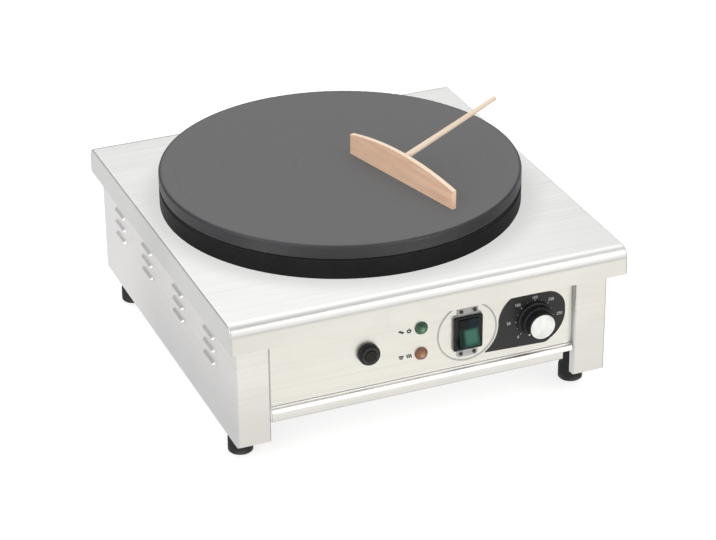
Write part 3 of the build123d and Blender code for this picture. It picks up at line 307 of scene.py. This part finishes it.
def moulded(name, base, rough=0.42, grit=2400.0, depth=0.00003, spec=0.5, wear=None, **sockets):
    """Moulded plastic or rubber with a fine mould texture."""
    k = Mat(name, **sockets)
    k.b.inputs["Specular IOR Level"].default_value = spec
    fine = k.noise(k.obj, grit, 3.0, 0.6)
    cloud = k.noise(k.obj, 140.0, 4.0, 0.6, 0.6)
    color = k.mix(k.fit(cloud, 0.3, 0.7), shade(base, 0.86), shade(base, 1.12))
    color = k.mix(k.fit(fine, 0.3, 0.75, 0.0, 0.35), color, shade(base, 1.3))
    if wear:
        edge = k.t.nodes.new("ShaderNodeNewGeometry").outputs["Pointiness"]
        scuffed = k.math("MULTIPLY", k.fit(edge, 0.52, 0.58, smooth=True), k.fit(cloud, 0.35, 0.6))
        color = k.mix(scuffed, color, wear)
    r = k.math("ADD", k.fit(fine, 0.3, 0.7, rough - 0.05, rough + 0.05), k.fit(cloud, 0.3, 0.7, -0.04, 0.05))
    return k.use(color, r, k.bump(fine, 0.5, depth))


def cast_iron(name):
    """Griddle plate: turned flat, with the fine rings of the tool, small pores and a dark oiled skin."""
    k = Mat(name, Metallic=0.0)
    p = k.split(k.obj)
    x = k.math("SUBTRACT", p["X"], PLATE_X / 1000)
    y = k.math("SUBTRACT", p["Y"], PLATE_Y / 1000)
    r = k.math("SQRT", k.math("ADD", k.math("MULTIPLY", x, x), k.math("MULTIPLY", y, y)))
    ring_fine = k.noise(k.join(k.math("MULTIPLY", r, 1700.0), 0.0, k.math("MULTIPLY", p["Z"], 900.0)), 1.0, 4.0, 0.7)
    ring_wide = k.noise(k.join(k.math("MULTIPLY", r, 190.0), 3.0, 0.0), 1.0, 4.0, 0.6)
    pores = k.voronoi(k.obj, 900.0)
    grain = k.noise(k.obj, 1500.0, 4.0, 0.65)
    patina = k.noise(k.mapped((1, 1, 1), loc=(0.3, 0.1, 0)), 11.0, 6.0, 0.6, 0.8)
    tone = k.math("ADD", k.fit(ring_fine, 0.25, 0.75, 0.0, 0.4), k.fit(ring_wide, 0.3, 0.7, 0.0, 0.25))
    tone = k.math("ADD", tone, k.fit(patina, 0.3, 0.7, 0.0, 0.35))
    color = k.ramp(tone, [(0.1, (0.088, 0.088, 0.090)), (0.55, (0.105, 0.105, 0.107)), (1.0, (0.120, 0.120, 0.121))])
    color = k.mix(k.fit(pores, 0.0, 0.18, 0.55, 0.0), color, (0.03, 0.03, 0.031))
    # the side of the rim is worn down to dark bare metal
    rim = k.fit(r, 0.1958, 0.1980, smooth=True)
    color = k.mix(rim, color, k.mix(k.fit(grain, 0.3, 0.7), (0.072, 0.072, 0.076), (0.094, 0.094, 0.099)))
    rough = k.math("ADD", k.fit(ring_fine, 0.3, 0.7, 0.46, 0.56), k.fit(patina, 0.3, 0.7, -0.04, 0.05))
    rough = k.math("SUBTRACT", rough, k.math("MULTIPLY", rim, 0.10))
    k.b.inputs["Specular IOR Level"].default_value = 0.48
    k.link(rim, k.b.inputs["Metallic"])
    height = k.math("ADD", k.math("MULTIPLY", ring_fine, 0.6), k.math("MULTIPLY", grain, 0.5))
    height = k.math("ADD", height, k.fit(pores, 0.0, 0.2, -0.5, 0.0))
    return k.use(color, rough, k.bump(height, 0.35, 0.00006))


def enamel(name, base):
    k = Mat(name)
    k.b.inputs["Specular IOR Level"].default_value = 0.05
    peel = k.noise(k.obj, 420.0, 2.0, 0.5)
    fine = k.noise(k.obj, 2200.0, 3.0, 0.6)
    cloud = k.noise(k.obj, 30.0, 5.0, 0.6, 0.7)
    color = k.mix(k.fit(cloud, 0.3, 0.75), shade(base, 0.8), shade(base, 1.25))
    color = k.mix(k.fit(fine, 0.68, 0.8, 0.0, 0.5), color, (0.09, 0.088, 0.085))
    rough = k.math("ADD", k.fit(cloud, 0.3, 0.7, 0.36, 0.46), k.fit(fine, 0.3, 0.7, -0.03, 0.03))
    return k.use(color, rough, k.bump(k.math("ADD", peel, k.math("MULTIPLY", fine, 0.3)), 0.3, 0.00006))


def rubber(name, base):
    k = Mat(name)
    k.b.inputs["Specular IOR Level"].default_value = 0.3
    fine = k.noise(k.obj, 2000.0, 4.0, 0.65)
    cloud = k.noise(k.obj, 110.0, 5.0, 0.6, 0.6)
    z = k.split(k.obj)["Z"]
    dust = k.math("MULTIPLY", k.fit(z, 0.010, 0.0, 0.0, 0.7, smooth=True), k.fit(cloud, 0.35, 0.65))
    color = k.mix(k.fit(cloud, 0.3, 0.7), shade(base, 0.75), shade(base, 1.3))
    color = k.mix(dust, color, (0.10, 0.095, 0.088))
    return k.use(color, k.fit(fine, 0.3, 0.7, 0.62, 0.78), k.bump(fine, 0.6, 0.00006))


def wood(name, pale, deep, turn, tilt=0.0, seed=0.0, painted_top_light=None):
    """Sanded beech. turn and tilt bring the board's long direction onto local x."""
    k = Mat(name)
    k.b.inputs["Specular IOR Level"].default_value = 0.35
    v = k.mapped(rot=(0, 0, -turn))
    v = k.mapped(rot=(0, tilt, 0), vec=v)
    v = k.mapped(loc=(seed, seed * 0.7, seed * 1.3), vec=v)
    rings = k.noise(k.mapped((2.2, 46, 46), vec=v), 1.0, 5.0, 0.55, 0.9)
    fibre = k.noise(k.mapped((22, 1500, 1500), vec=v), 1.0, 4.0, 0.6)
    broad = k.noise(k.mapped((9, 34, 34), vec=v), 1.0, 3.0, 0.5, 0.4)
    flecks = k.voronoi(k.mapped((260, 2100, 2100), vec=v), 1.0)
    color = k.ramp(
        k.math("ADD", k.fit(rings, 0.25, 0.75, 0.0, 0.7), k.fit(broad, 0.3, 0.7, 0.0, 0.3)),
        [(0.12, shade(pale, 1.04)), (0.45, pale), (0.62, deep), (0.74, pale), (0.95, shade(deep, 0.92))],
    )
    color = k.mix(k.fit(fibre, 0.35, 0.75, 0.0, 0.30), color, shade(deep, 0.80))
    color = k.mix(k.fit(flecks, 0.05, 0.16, 0.45, 0.0), color, shade(deep, 0.52))
    # painted highlight: faces turned upwards are made paler, standing in for light on the top edges
    if painted_top_light is not None:
        up = k.fit(k.split(k.nrm)["Z"], painted_top_light[0], painted_top_light[1], 0.0, 0.75, smooth=True)
        color = k.mix(up, color, (0.93, 0.80, 0.64))
    rough = k.math("ADD", k.fit(fibre, 0.3, 0.7, 0.50, 0.62), k.fit(broad, 0.3, 0.7, -0.03, 0.04))
    height = k.math("ADD", k.math("MULTIPLY", fibre, 0.6), k.fit(flecks, 0.0, 0.2, -0.5, 0.0))
    return k.use(color, rough, k.bump(height, 0.4, 0.00008))


def rocker_look(name):
    """Green see-through rocker, with painted shade: near black over its upper half, darker at the left of the face and
    on the cheeks, and a painted highlight across the lower half.
    """
    k = Mat(name, Transmission_Weight=0.12, Coat_Weight=0.03, Coat_Roughness=0.15)
    k.b.inputs["Specular IOR Level"].default_value = 0.10
    z = k.split(k.obj)["Z"]
    x = k.split(k.obj)["X"]
    fine = k.noise(k.obj, 1500.0, 3.0, 0.6)
    cloud = k.noise(k.obj, 180.0, 3.0, 0.5)
    lower = k.mix(k.fit(cloud, 0.3, 0.7), (0.010, 0.066, 0.048), (0.018, 0.104, 0.078))
    # painted shade: the left of the face is darkened
    painted_left_shade = k.fit(x, (SWITCH[0] - 3.0) / 1000, (SWITCH[0] - 7.5) / 1000, smooth=True)
    lower = k.mix(painted_left_shade, lower, (0.004, 0.022, 0.016))
    # painted highlight: a paler band across the middle of the lower half
    painted_highlight = k.math("MULTIPLY", k.fit(z, 0.0935, 0.0995, smooth=True), k.fit(z, 0.1120, 0.1075, smooth=True))
    mid = k.fit(k.math("ABSOLUTE", k.math("SUBTRACT", x, (SWITCH[0] + 2.5) / 1000)), 0.0095, 0.004, smooth=True)
    lower = k.mix(k.math("MULTIPLY", painted_highlight, mid), lower, (0.056, 0.164, 0.124))
    # painted shade: the upper half is near black, a little lighter towards the right
    painted_upper_shade = k.mix(k.fit(x, (SWITCH[0] - 2.0) / 1000, (SWITCH[0] + 4.0) / 1000, smooth=True), (0.003, 0.005, 0.006), (0.005, 0.019, 0.024))
    painted_upper_shade = k.mix(k.fit(cloud, 0.3, 0.7, 0.0, 0.4), painted_upper_shade, (0.004, 0.010, 0.012))
    color = k.mix(k.fit(z, 0.1104, 0.1134, smooth=True), lower, painted_upper_shade)
    # painted shade: the cheeks are made darker, standing in for the shade on the rocker's sides
    painted_cheek_shade = k.fit(k.math("ABSOLUTE", k.split(k.nrm)["X"]), 0.5, 0.75)
    color = k.mix(painted_cheek_shade, color, (0.006, 0.020, 0.018))
    return k.use(color, k.fit(fine, 0.3, 0.7, 0.22, 0.30), k.bump(fine, 0.3, 0.00003))


def clear_plastic(name, tint, rough, through, **sockets):
    k = Mat(name, Transmission_Weight=through, IOR=1.49, **sockets)
    fine = k.noise(k.obj, 1800.0, 3.0, 0.6)
    cloud = k.noise(k.obj, 160.0, 4.0, 0.6, 0.5)
    color = k.mix(k.fit(cloud, 0.3, 0.7), shade(tint, 0.88), shade(tint, 1.08))
    r = k.math("ADD", k.fit(fine, 0.3, 0.7, rough - 0.04, rough + 0.05), k.fit(cloud, 0.3, 0.7, -0.02, 0.04))
    return k.use(color, r, k.bump(fine, 0.25, 0.00004))


def lens_look(name, edge, heart, cx, cz):
    """Unlit lamp lens: see-through coloured plastic, paler over the lamp in its middle."""
    k = Mat(name, Transmission_Weight=0.35, IOR=1.49, Coat_Weight=0.4, Coat_Roughness=0.08)
    p = k.split(k.obj)
    dx = k.math("SUBTRACT", p["X"], cx / 1000)
    dz = k.math("SUBTRACT", p["Z"], cz / 1000)
    r = k.math("SQRT", k.math("ADD", k.math("MULTIPLY", dx, dx), k.math("MULTIPLY", dz, dz)))
    cloud = k.noise(k.obj, 300.0, 3.0, 0.5)
    fine = k.noise(k.obj, 1600.0, 3.0, 0.6)
    f = k.math("ADD", k.fit(r, 0.0, 0.0062, 0.0, 1.0), k.fit(cloud, 0.3, 0.7, -0.12, 0.12))
    color = k.ramp(f, [(0.0, heart), (0.55, edge), (1.0, shade(edge, 0.7))])
    return k.use(color, k.fit(fine, 0.3, 0.7, 0.16, 0.26), k.bump(fine, 0.2, 0.00003))


def fibre_blanket(name):
    k = Mat(name, Sheen_Weight=0.3)
    strands = k.noise(k.mapped((900, 260, 1400)), 1.0, 5.0, 0.7, 1.2)
    cloud = k.noise(k.obj, 60.0, 4.0, 0.6)
    color = k.mix(k.fit(strands, 0.3, 0.7), (0.68, 0.66, 0.61), (0.88, 0.87, 0.83))
    color = k.mix(k.fit(cloud, 0.5, 0.75, 0.0, 0.4), color, (0.60, 0.54, 0.44))
    return k.use(color, k.fit(strands, 0.3, 0.7, 0.82, 0.95), k.bump(strands, 0.8, 0.0004))


def heated_sheath(name):
    k = Mat(name, Metallic=0.75)
    fine = k.noise(k.obj, 1400.0, 4.0, 0.65)
    cloud = k.noise(k.obj, 36.0, 5.0, 0.6, 1.0)
    color = k.ramp(
        k.fit(cloud, 0.25, 0.75),
        [(0.0, (0.075, 0.068, 0.062)), (0.45, (0.16, 0.135, 0.11)), (0.75, (0.21, 0.15, 0.10)), (1.0, (0.13, 0.12, 0.13))],
    )
    return k.use(color, k.fit(fine, 0.3, 0.7, 0.44, 0.62), k.bump(fine, 0.4, 0.00005))


def print_ink(name, base, rough=0.45):
    """Screen-printed ink with thin spots."""
    k = Mat(name)
    k.b.inputs["Specular IOR Level"].default_value = 0.4
    fine = k.noise(k.obj, 2600.0, 3.0, 0.6)
    cloud = k.noise(k.obj, 220.0, 4.0, 0.6)
    color = k.mix(k.fit(cloud, 0.3, 0.7), shade(base, 0.86), shade(base, 1.06))
    color = k.mix(k.fit(fine, 0.66, 0.78, 0.0, 0.4), color, shade(base, 0.6))
    return k.use(color, k.fit(fine, 0.3, 0.7, rough - 0.06, rough + 0.06), k.bump(fine, 0.3, 0.00002))


STEEL = (0.80, 0.80, 0.795)
look = {
    "top_panel": steel("steel_top", (0.79, 0.79, 0.782), 0.29, "flat", 0.0),
    "left_side_panel": steel("steel_left", (0.875, 0.862, 0.855), 0.36, "round", 1.0, (0.115, 0.040, 0.86), rear=1.09),
    "right_side_panel": steel("steel_right", (0.85, 0.84, 0.82), 0.36, "round", 2.0, (0.110, 0.040, 0.93)),
    "front_panel": steel("steel_front", (0.865, 0.86, 0.835), 0.36, "round", 3.0),
    "rear_panel": steel("steel_rear", STEEL, 0.37, "round", 4.0),
    # painted highlight: the pan's sheet is paler than the other steel panels, standing in for the light caught along
    # its bend
    "base_pan": steel(
        "steel_pan", (0.97, 0.97, 0.955), 0.34, "round", 5.0, (0.0600, 0.0565, 0.79), (0.0568, 0.0630, 0.0014)
    ),
    "griddle_plate": cast_iron("griddle_iron"),
    "plate_skirt": enamel("black_enamel", (0.016, 0.016, 0.0165)),
    "rubber_feet": rubber("foot_rubber", (0.016, 0.016, 0.016)),
    "gland_seal": rubber("seal_rubber", (0.02, 0.02, 0.02)),
    "knob_skirt": moulded("knob_black", (0.013, 0.013, 0.014), 0.38, spec=0.38, wear=(0.05, 0.05, 0.05)),
    "knob_cap": moulded("knob_white", (0.71, 0.71, 0.69), 0.30, 1800.0, 0.00002),
    "knob_pointer": print_ink("pointer_ink", (0.85, 0.85, 0.83)),
    "dial_plate": moulded("dial_black", (0.016, 0.017, 0.018), 0.42, 3000.0, 0.00002, spec=0.42),
    "switch_ring": print_ink("ring_ink", (0.42, 0.42, 0.41)),
    "switch_frame": moulded("switch_black", (0.010, 0.010, 0.011), 0.40, spec=0.25, wear=(0.04, 0.04, 0.04)),
    "switch_housing": moulded("switch_body", (0.02, 0.02, 0.02), 0.5),
    "rocker": rocker_look("rocker_green"),
    "switch_guard": clear_plastic("guard_clear", (0.70, 0.70, 0.69), 0.30, 0.55),
    "guard_clips": moulded("clip_black", (0.02, 0.02, 0.02), 0.4),
    "reset_collar": moulded("collar_black", (0.010, 0.009, 0.009), 0.40, spec=0.24, wear=(0.045, 0.045, 0.045)),
    "reset_button": moulded("button_black", (0.010, 0.009, 0.009), 0.30, 2400.0, 0.00002, spec=0.24),
    "gland_body": moulded("gland_black", (0.02, 0.02, 0.02), 0.44),
    "gland_dome": moulded("gland_dome_black", (0.02, 0.02, 0.02), 0.40, wear=(0.06, 0.06, 0.06)),
    "gland_locknut": moulded("locknut_black", (0.02, 0.02, 0.02), 0.46),
    "spreader_blade": wood(
        "beech_blade", (0.93, 0.645, 0.465), (0.83, 0.53, 0.37), math.radians(-75.06), 0.0, 0.0, (0.45, 0.85)
    ),
    "spreader_handle": wood(
        "beech_handle", (0.82, 0.68, 0.55), (0.74, 0.585, 0.455), math.radians(14.94), math.radians(15.5), 2.0
    ),
    "insulation_pad": fibre_blanket("ceramic_wool"),
}
bolt = zinc("zinc_bolt", (0.70, 0.70, 0.70))
plate = zinc("galvanised_sheet", (0.62, 0.63, 0.645), 0.36, 130.0)
sheath = heated_sheath("element_sheath")
copper = zinc("copper_tube", (0.72, 0.40, 0.26), 0.30)
brass = zinc("brass_stud", (0.72, 0.56, 0.29), 0.28)
ivory = moulded("bakelite_ivory", (0.76, 0.73, 0.66), 0.48)
silicone = moulded("silicone_sleeve", (0.42, 0.06, 0.045), 0.55)
for name in ("rear_screws", "foot_screws", "foot_nuts", "element_terminals", "plate_studs", "plate_nuts",
             "thermostat_screws", "thermostat_shaft", "reset_spring", "lamp_clips"):
    look[name] = bolt
for name in ("heater_pan", "element_clamp", "support_bars"):
    look[name] = plate
for name in ("outer_element", "middle_element", "inner_element"):
    look[name] = sheath
for name in ("thermostat_bulb", "limiter_bulb"):
    look[name] = copper
for name in ("earth_stud", "earth_nuts", "terminal_screws"):
    look[name] = brass
for name in ("thermostat_body", "limiter_body", "lamp_bodies", "terminal_block"):
    look[name] = ivory
look["wiring_loom"] = silicone

lens_mats = {
    "green_lens": lens_look("lens_green", (0.065, 0.190, 0.100), (0.230, 0.440, 0.280), LAMP_X, GREEN_Z),
    "orange_lens": lens_look("lens_orange", (0.420, 0.185, 0.100), (0.700, 0.400, 0.250), LAMP_X, ORANGE_Z),
}
look.update(lens_mats)

for name, obj in nodes.items():
    obj.data.materials.clear()
    obj.data.materials.append(look[name])


# ---------------------------------------------------------------------------
# pieces that Blender adds
# ---------------------------------------------------------------------------
def piece(name, bm, body, material, smooth=True):
    bmesh.ops.recalc_face_normals(bm, faces=bm.faces)
    me = bpy.data.meshes.new(name)
    bm.to_mesh(me)
    bm.free()
    if smooth:
        me.polygons.foreach_set("use_smooth", [True] * len(me.polygons))
        me.set_sharp_from_angle(angle=math.radians(35))
    me.materials.append(material)
    obj = bpy.data.objects.new(name, me)
    scene.collection.objects.link(obj)
    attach(obj, body)
    return obj


def on_panel(depth):
    """Places (x, z, out) in millimetres on a face of the control panel at y = depth, out towards the user."""

    def place(u, v, out):
        return Vector((u, depth - out, v)) / 1000

    return place


def ribbon(bm, points, width, thick, place, closed=False):
    """A flat stroke of even width along 2-D points, as a closed solid."""
    pts = [Vector((p[0], p[1])) for p in points]
    n = len(pts)
    rows = []
    for i, p in enumerate(pts):
        before = pts[i - 1] if (closed or i > 0) else None
        after = pts[(i + 1) % n] if (closed or i < n - 1) else None
        d1 = (p - before).normalized() if before is not None else None
        d2 = (after - p).normalized() if after is not None else None
        d = ((d1 or d2) + (d2 or d1)).normalized()
        half = width / 2
        if d1 is not None and d2 is not None:
            half /= max(0.45, d.dot(d2))
        side = Vector((-d.y, d.x)) * half
        a, b = p + side, p - side
        rows.append(
            [
                bm.verts.new(place(a.x, a.y, 0)),
                bm.verts.new(place(b.x, b.y, 0)),
                bm.verts.new(place(b.x, b.y, thick)),
                bm.verts.new(place(a.x, a.y, thick)),
            ]
        )
    for i in range(n if closed else n - 1):
        q, r = rows[i], rows[(i + 1) % n]
        for j in range(4):
            bm.faces.new((q[j], q[(j + 1) % 4], r[(j + 1) % 4], r[j]))
    if not closed:
        bm.faces.new(rows[0])
        bm.faces.new(list(reversed(rows[-1])))


def arc(cx, cy, rx, ry, a0, a1, n=10):
    return [
        (
            cx + rx * math.cos(math.radians(a0 + (a1 - a0) * i / n)),
            cy + ry * math.sin(math.radians(a0 + (a1 - a0) * i / n)),
        )
        for i in range(n + 1)
    ]


# plain digits, drawn in a box 0.6 wide and 1 high
DIGITS = {
    "0": [(arc(0.3, 0.5, 0.26, 0.5, 0, 345, 23), True)],
    "1": [([(0.12, 0.78), (0.33, 1.0), (0.33, 0.0)], False)],
    "2": [(arc(0.3, 0.74, 0.25, 0.26, 165, -35, 10) + [(0.05, 0.0), (0.58, 0.0)], False)],
    "3": [(arc(0.29, 0.76, 0.23, 0.24, 160, -80, 10) + arc(0.29, 0.27, 0.26, 0.27, 75, -160, 12), False)],
    "5": [([(0.53, 1.0), (0.12, 1.0), (0.08, 0.56)] + arc(0.28, 0.32, 0.27, 0.32, 120, -155, 12), False)],
}


def number(bm, text, cx, cy, height, stroke, thick, place):
    gap = 0.76 * height
    x0 = cx - (gap * (len(text) - 1) + 0.6 * height) / 2
    for i, ch in enumerate(text):
        for pts, closed in DIGITS[ch]:
            ribbon(
                bm,
                [(x0 + i * gap + p[0] * height, cy - height / 2 + p[1] * height) for p in pts],
                stroke,
                thick,
                place,
                closed,
            )


def dial_marks():
    bm = bmesh.new()
    face = on_panel(PANEL_Y - 0.75)
    for i in range(13):
        a = math.radians(225 - 22.5 * i)
        long = i % 2 == 0
        r0, r1 = 21.2, 23.0 if long else 22.2
        ribbon(
            bm,
            [(KNOB[0] + r * math.cos(a), KNOB[1] + r * math.sin(a)) for r in (r0, r1)],
            0.7 if long else 0.45,
            0.06,
            face,
        )
    for i, text in enumerate(("0", "50", "100", "150", "200", "250", "300")):
        a = math.radians(225 - 45 * i)
        r = (26.6, 30.5, 28.6, 25.4, 27.6, 30.0, 28.0)[i]
        number(bm, text, KNOB[0] + r * math.cos(a), KNOB[1] + r * math.sin(a), 3.0, 0.55, 0.06, face)
    return piece("dial_marks", bm, "body", print_ink("dial_ink", (0.50, 0.50, 0.49)), smooth=False)


def lamp_symbols():
    """Mains wave and power sign by the green lamp, hot plate and rising heat by the orange one."""
    bm = bmesh.new()
    face = on_panel(PANEL_Y - 0.01)
    x, z = -16.2, GREEN_Z - 0.5
    ribbon(bm, arc(x, z - 0.3, 2.0, 1.9, 130, 410, 28), 1.6, 0.06, face)
    ribbon(bm, [(x, z - 0.2), (x, z + 2.6)], 1.6, 0.06, face)
    x = -25.2
    ribbon(bm, [(x - 2.7 + 5.4 * t / 16, z + 1.0 * math.sin(2 * math.pi * t / 16)) for t in range(17)], 2.2, 0.06, face)
    x, z = -16.2, ORANGE_Z - 0.3
    for dx in (-2.1, 0.0, 2.1):
        pts = [(x + dx + 0.5 * math.sin(2 * math.pi * t / 16), z - 2.2 + 4.4 * t / 16) for t in range(17)]
        ribbon(bm, pts, 1.45, 0.06, face)
    x = -25.2
    ribbon(bm, [(x - 2.8, z + 0.9), (x + 2.8, z + 0.9)], 2.2, 0.06, face)
    ribbon(bm, [(x - 2.0, z - 1.5), (x + 2.0, z - 1.5)], 1.6, 0.06, face)
    return piece("lamp_symbols", bm, "body", print_ink("symbol_ink", (0.045, 0.045, 0.045)), smooth=False)


def lathe(bm, profile, cx, cz, flutes=0, depth=0.0, first=0, last=0, segments=120):
    """Turns (radius, out) points in millimetres about an axis square to the panel. Points from first to last are fluted."""
    rings = []
    for i, (r, out) in enumerate(profile):
        if r == 0:
            rings.append([bm.verts.new(Vector((cx, PANEL_Y - out, cz)) / 1000)])
            continue
        ring = []
        for s in range(segments):
            a = 2 * math.pi * s / segments
            rr = r + (depth * math.cos(flutes * a) if first <= i <= last else 0.0)
            ring.append(bm.verts.new(Vector((cx + rr * math.cos(a), PANEL_Y - out, cz + rr * math.sin(a))) / 1000))
        rings.append(ring)
    for a, b in zip(rings, rings[1:]):
        for s in range(segments):
            t = (s + 1) % segments
            if len(a) == 1:
                bm.faces.new((a[0], b[t], b[s]))
            elif len(b) == 1:
                bm.faces.new((a[s], a[t], b[0]))
            else:
                bm.faces.new((a[s], a[t], b[t], b[s]))


LENS = [
    (0, 0.1), (7.35, 0.1), (7.4, 0.2), (7.4, 0.75), (7.3, 1.0), (7.1, 1.2), (6.8, 1.32), (6.35, 1.38), (6.12, 1.5),
    (6.02, 1.8), (5.95, 2.5), (5.86, 3.2), (5.72, 3.6), (5.45, 3.82), (5.2, 3.72), (5.0, 4.12), (4.75, 4.3),
    (4.5, 4.2), (4.3, 4.55), (4.0, 4.72), (3.7, 4.62), (3.5, 4.92), (3.15, 5.06), (2.85, 4.98), (2.6, 5.22),
    (2.2, 5.34), (1.9, 5.28), (1.6, 5.46), (1.1, 5.55), (0.5, 5.59), (0, 5.6),
]
for node, name, cz in (("green_lens", "green_lamp_lens", GREEN_Z), ("orange_lens", "orange_lamp_lens", ORANGE_Z)):
    bm = bmesh.new()
    lathe(bm, LENS, LAMP_X, cz, flutes=24, depth=0.09, first=9, last=13)
    lens = piece(name, bm, "body", lens_mats[node])
    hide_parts(node)

dial_marks()
lamp_symbols()


# ---------------------------------------------------------------------------
# stage and light
# ---------------------------------------------------------------------------
def make_stage():
    """A pale light table: a plane that glows a little, so that the shadow under the machine stays soft."""
    bm = bmesh.new()
    n = 24
    size = 9.0
    grid = [
        [bm.verts.new(((i / n - 0.5) * 2 * size, (j / n - 0.5) * 2 * size, -0.0003)) for j in range(n + 1)]
        for i in range(n + 1)
    ]
    for i in range(n):
        for j in range(n):
            bm.faces.new((grid[i][j], grid[i + 1][j], grid[i + 1][j + 1], grid[i][j + 1]))
    me = bpy.data.meshes.new("floor")
    bm.to_mesh(me)
    bm.free()
    k = Mat("floor_white", Emission_Strength=0.65)
    k.b.inputs["Specular IOR Level"].default_value = 0.0
    k.b.inputs["Emission Color"].default_value = (1.0, 1.0, 1.0, 1.0)
    cloud = k.noise(k.obj, 3.0, 2.0, 0.5)
    me.materials.append(k.use(k.mix(k.fit(cloud, 0.3, 0.7), (0.60, 0.60, 0.60), (0.61, 0.61, 0.61)), 0.9))
    floor = bpy.data.objects.new("floor", me)
    scene.collection.objects.link(floor)
    floor.visible_glossy = False


def area(name, place, aim, width, height, watts, color=(1, 1, 1)):
    data = bpy.data.lights.new(name, "AREA")
    data.shape = "RECTANGLE"
    data.size, data.size_y = width, height
    data.energy = watts
    data.color = color
    light = bpy.data.objects.new(name, data)
    scene.collection.objects.link(light)
    light.location = place
    light.rotation_euler = (Vector(aim) - Vector(place)).to_track_quat("-Z", "Y").to_euler()
    return light


# Round soft panels of light, and dark gaps between them: (azimuth from the back towards the right, elevation,
# inner and outer angle in degrees, colour added).
SKY = 0.82
PANELS = [
    (20, 52, 14, 34, (0.62, 0.62, 0.61)),
    (5, 14, 6, 22, (-0.45, -0.45, -0.44)),
    (50, 26, 8, 26, (-0.38, -0.38, -0.38)),
    (140, 60, 3, 14, (-0.50, -0.50, -0.50)),
    (155, 22, 18, 30, (0.36, 0.35, 0.33)),
    (158, -10, 4, 12, (-0.45, -0.45, -0.45)),
    (-30, 8, 10, 26, (-0.40, -0.40, -0.39)),
    (-30, -68, 10, 40, (-0.60, -0.60, -0.60)),
    (-2, 42, 8, 26, (0.28, 0.28, 0.28)),
    (-172, 30, 8, 22, (-0.34, -0.34, -0.34)),
    (122, 28, 8, 24, (-0.34, -0.34, -0.34)),
    (112, -30, 8, 26, (-0.42, -0.42, -0.42)),
    (178, -30, 4, 18, (-0.25, -0.25, -0.25)),
    (158, -28, 12, 22, (0.38, 0.35, 0.26)),
    (-108, 26, 10, 32, (0.50, 0.49, 0.47)),
    (-104, 27, 5, 16, (1.30, 1.28, 1.24)),
    (92, 12, 8, 32, (-0.24, -0.24, -0.24)),
    (-82, 11, 8, 22, (-0.26, -0.26, -0.26)),
    (-54, 26, 8, 24, (-0.22, -0.22, -0.21)),
]


def make_world():
    world = bpy.data.worlds.new("studio")
    scene.world = world
    world.use_nodes = True
    t = world.node_tree
    t.nodes.clear()
    out = t.nodes.new("ShaderNodeOutputWorld")
    bg = t.nodes.new("ShaderNodeBackground")
    t.links.new(bg.outputs[0], out.inputs[0])
    way = t.nodes.new("ShaderNodeTexCoord").outputs["Generated"]
    total = None
    for az, el, inner, outer, color in PANELS:
        az, el = math.radians(az), math.radians(el)
        dot = t.nodes.new("ShaderNodeVectorMath")
        dot.operation = "DOT_PRODUCT"
        t.links.new(way, dot.inputs[0])
        dot.inputs[1].default_value = (math.sin(az) * math.cos(el), math.cos(az) * math.cos(el), math.sin(el))
        soft = t.nodes.new("ShaderNodeMapRange")
        soft.interpolation_type = "SMOOTHSTEP"
        t.links.new(dot.outputs["Value"], soft.inputs["Value"])
        soft.inputs["From Min"].default_value = math.cos(math.radians(outer))
        soft.inputs["From Max"].default_value = math.cos(math.radians(inner))
        scale = t.nodes.new("ShaderNodeVectorMath")
        scale.operation = "SCALE"
        scale.inputs[0].default_value = color
        t.links.new(soft.outputs["Result"], scale.inputs["Scale"])
        add = t.nodes.new("ShaderNodeVectorMath")
        add.operation = "ADD"
        t.links.new(scale.outputs[0], add.inputs[0])
        if total is None:
            add.inputs[1].default_value = (SKY, SKY, SKY)
        else:
            t.links.new(total, add.inputs[1])
        total = add.outputs[0]
    t.links.new(total, bg.inputs["Color"])
    bg.inputs["Strength"].default_value = 1.0


make_stage()
make_world()
area("key", (1.5, -2.1, 2.4), (0, 0, 0.1), 1.6, 1.6, 10.0, (1.0, 0.985, 0.96))
fill = area("fill", (-1.9, -2.3, 1.5), (0, 0, 0.2), 1.8, 1.8, 16.0, (1.0, 0.985, 0.965))
fill.visible_glossy = False
# The satin top reflects the studio, not the plate and what stands on it.
for name in ("griddle_plate", "plate_skirt", "spreader_blade", "spreader_handle", "heater_pan", "insulation_pad",
             "element_clamp", "outer_element", "middle_element", "inner_element", "plate_studs", "plate_nuts",
             "support_bars", "element_terminals", "thermostat_bulb", "limiter_bulb"):
    nodes[name].visible_glossy = False
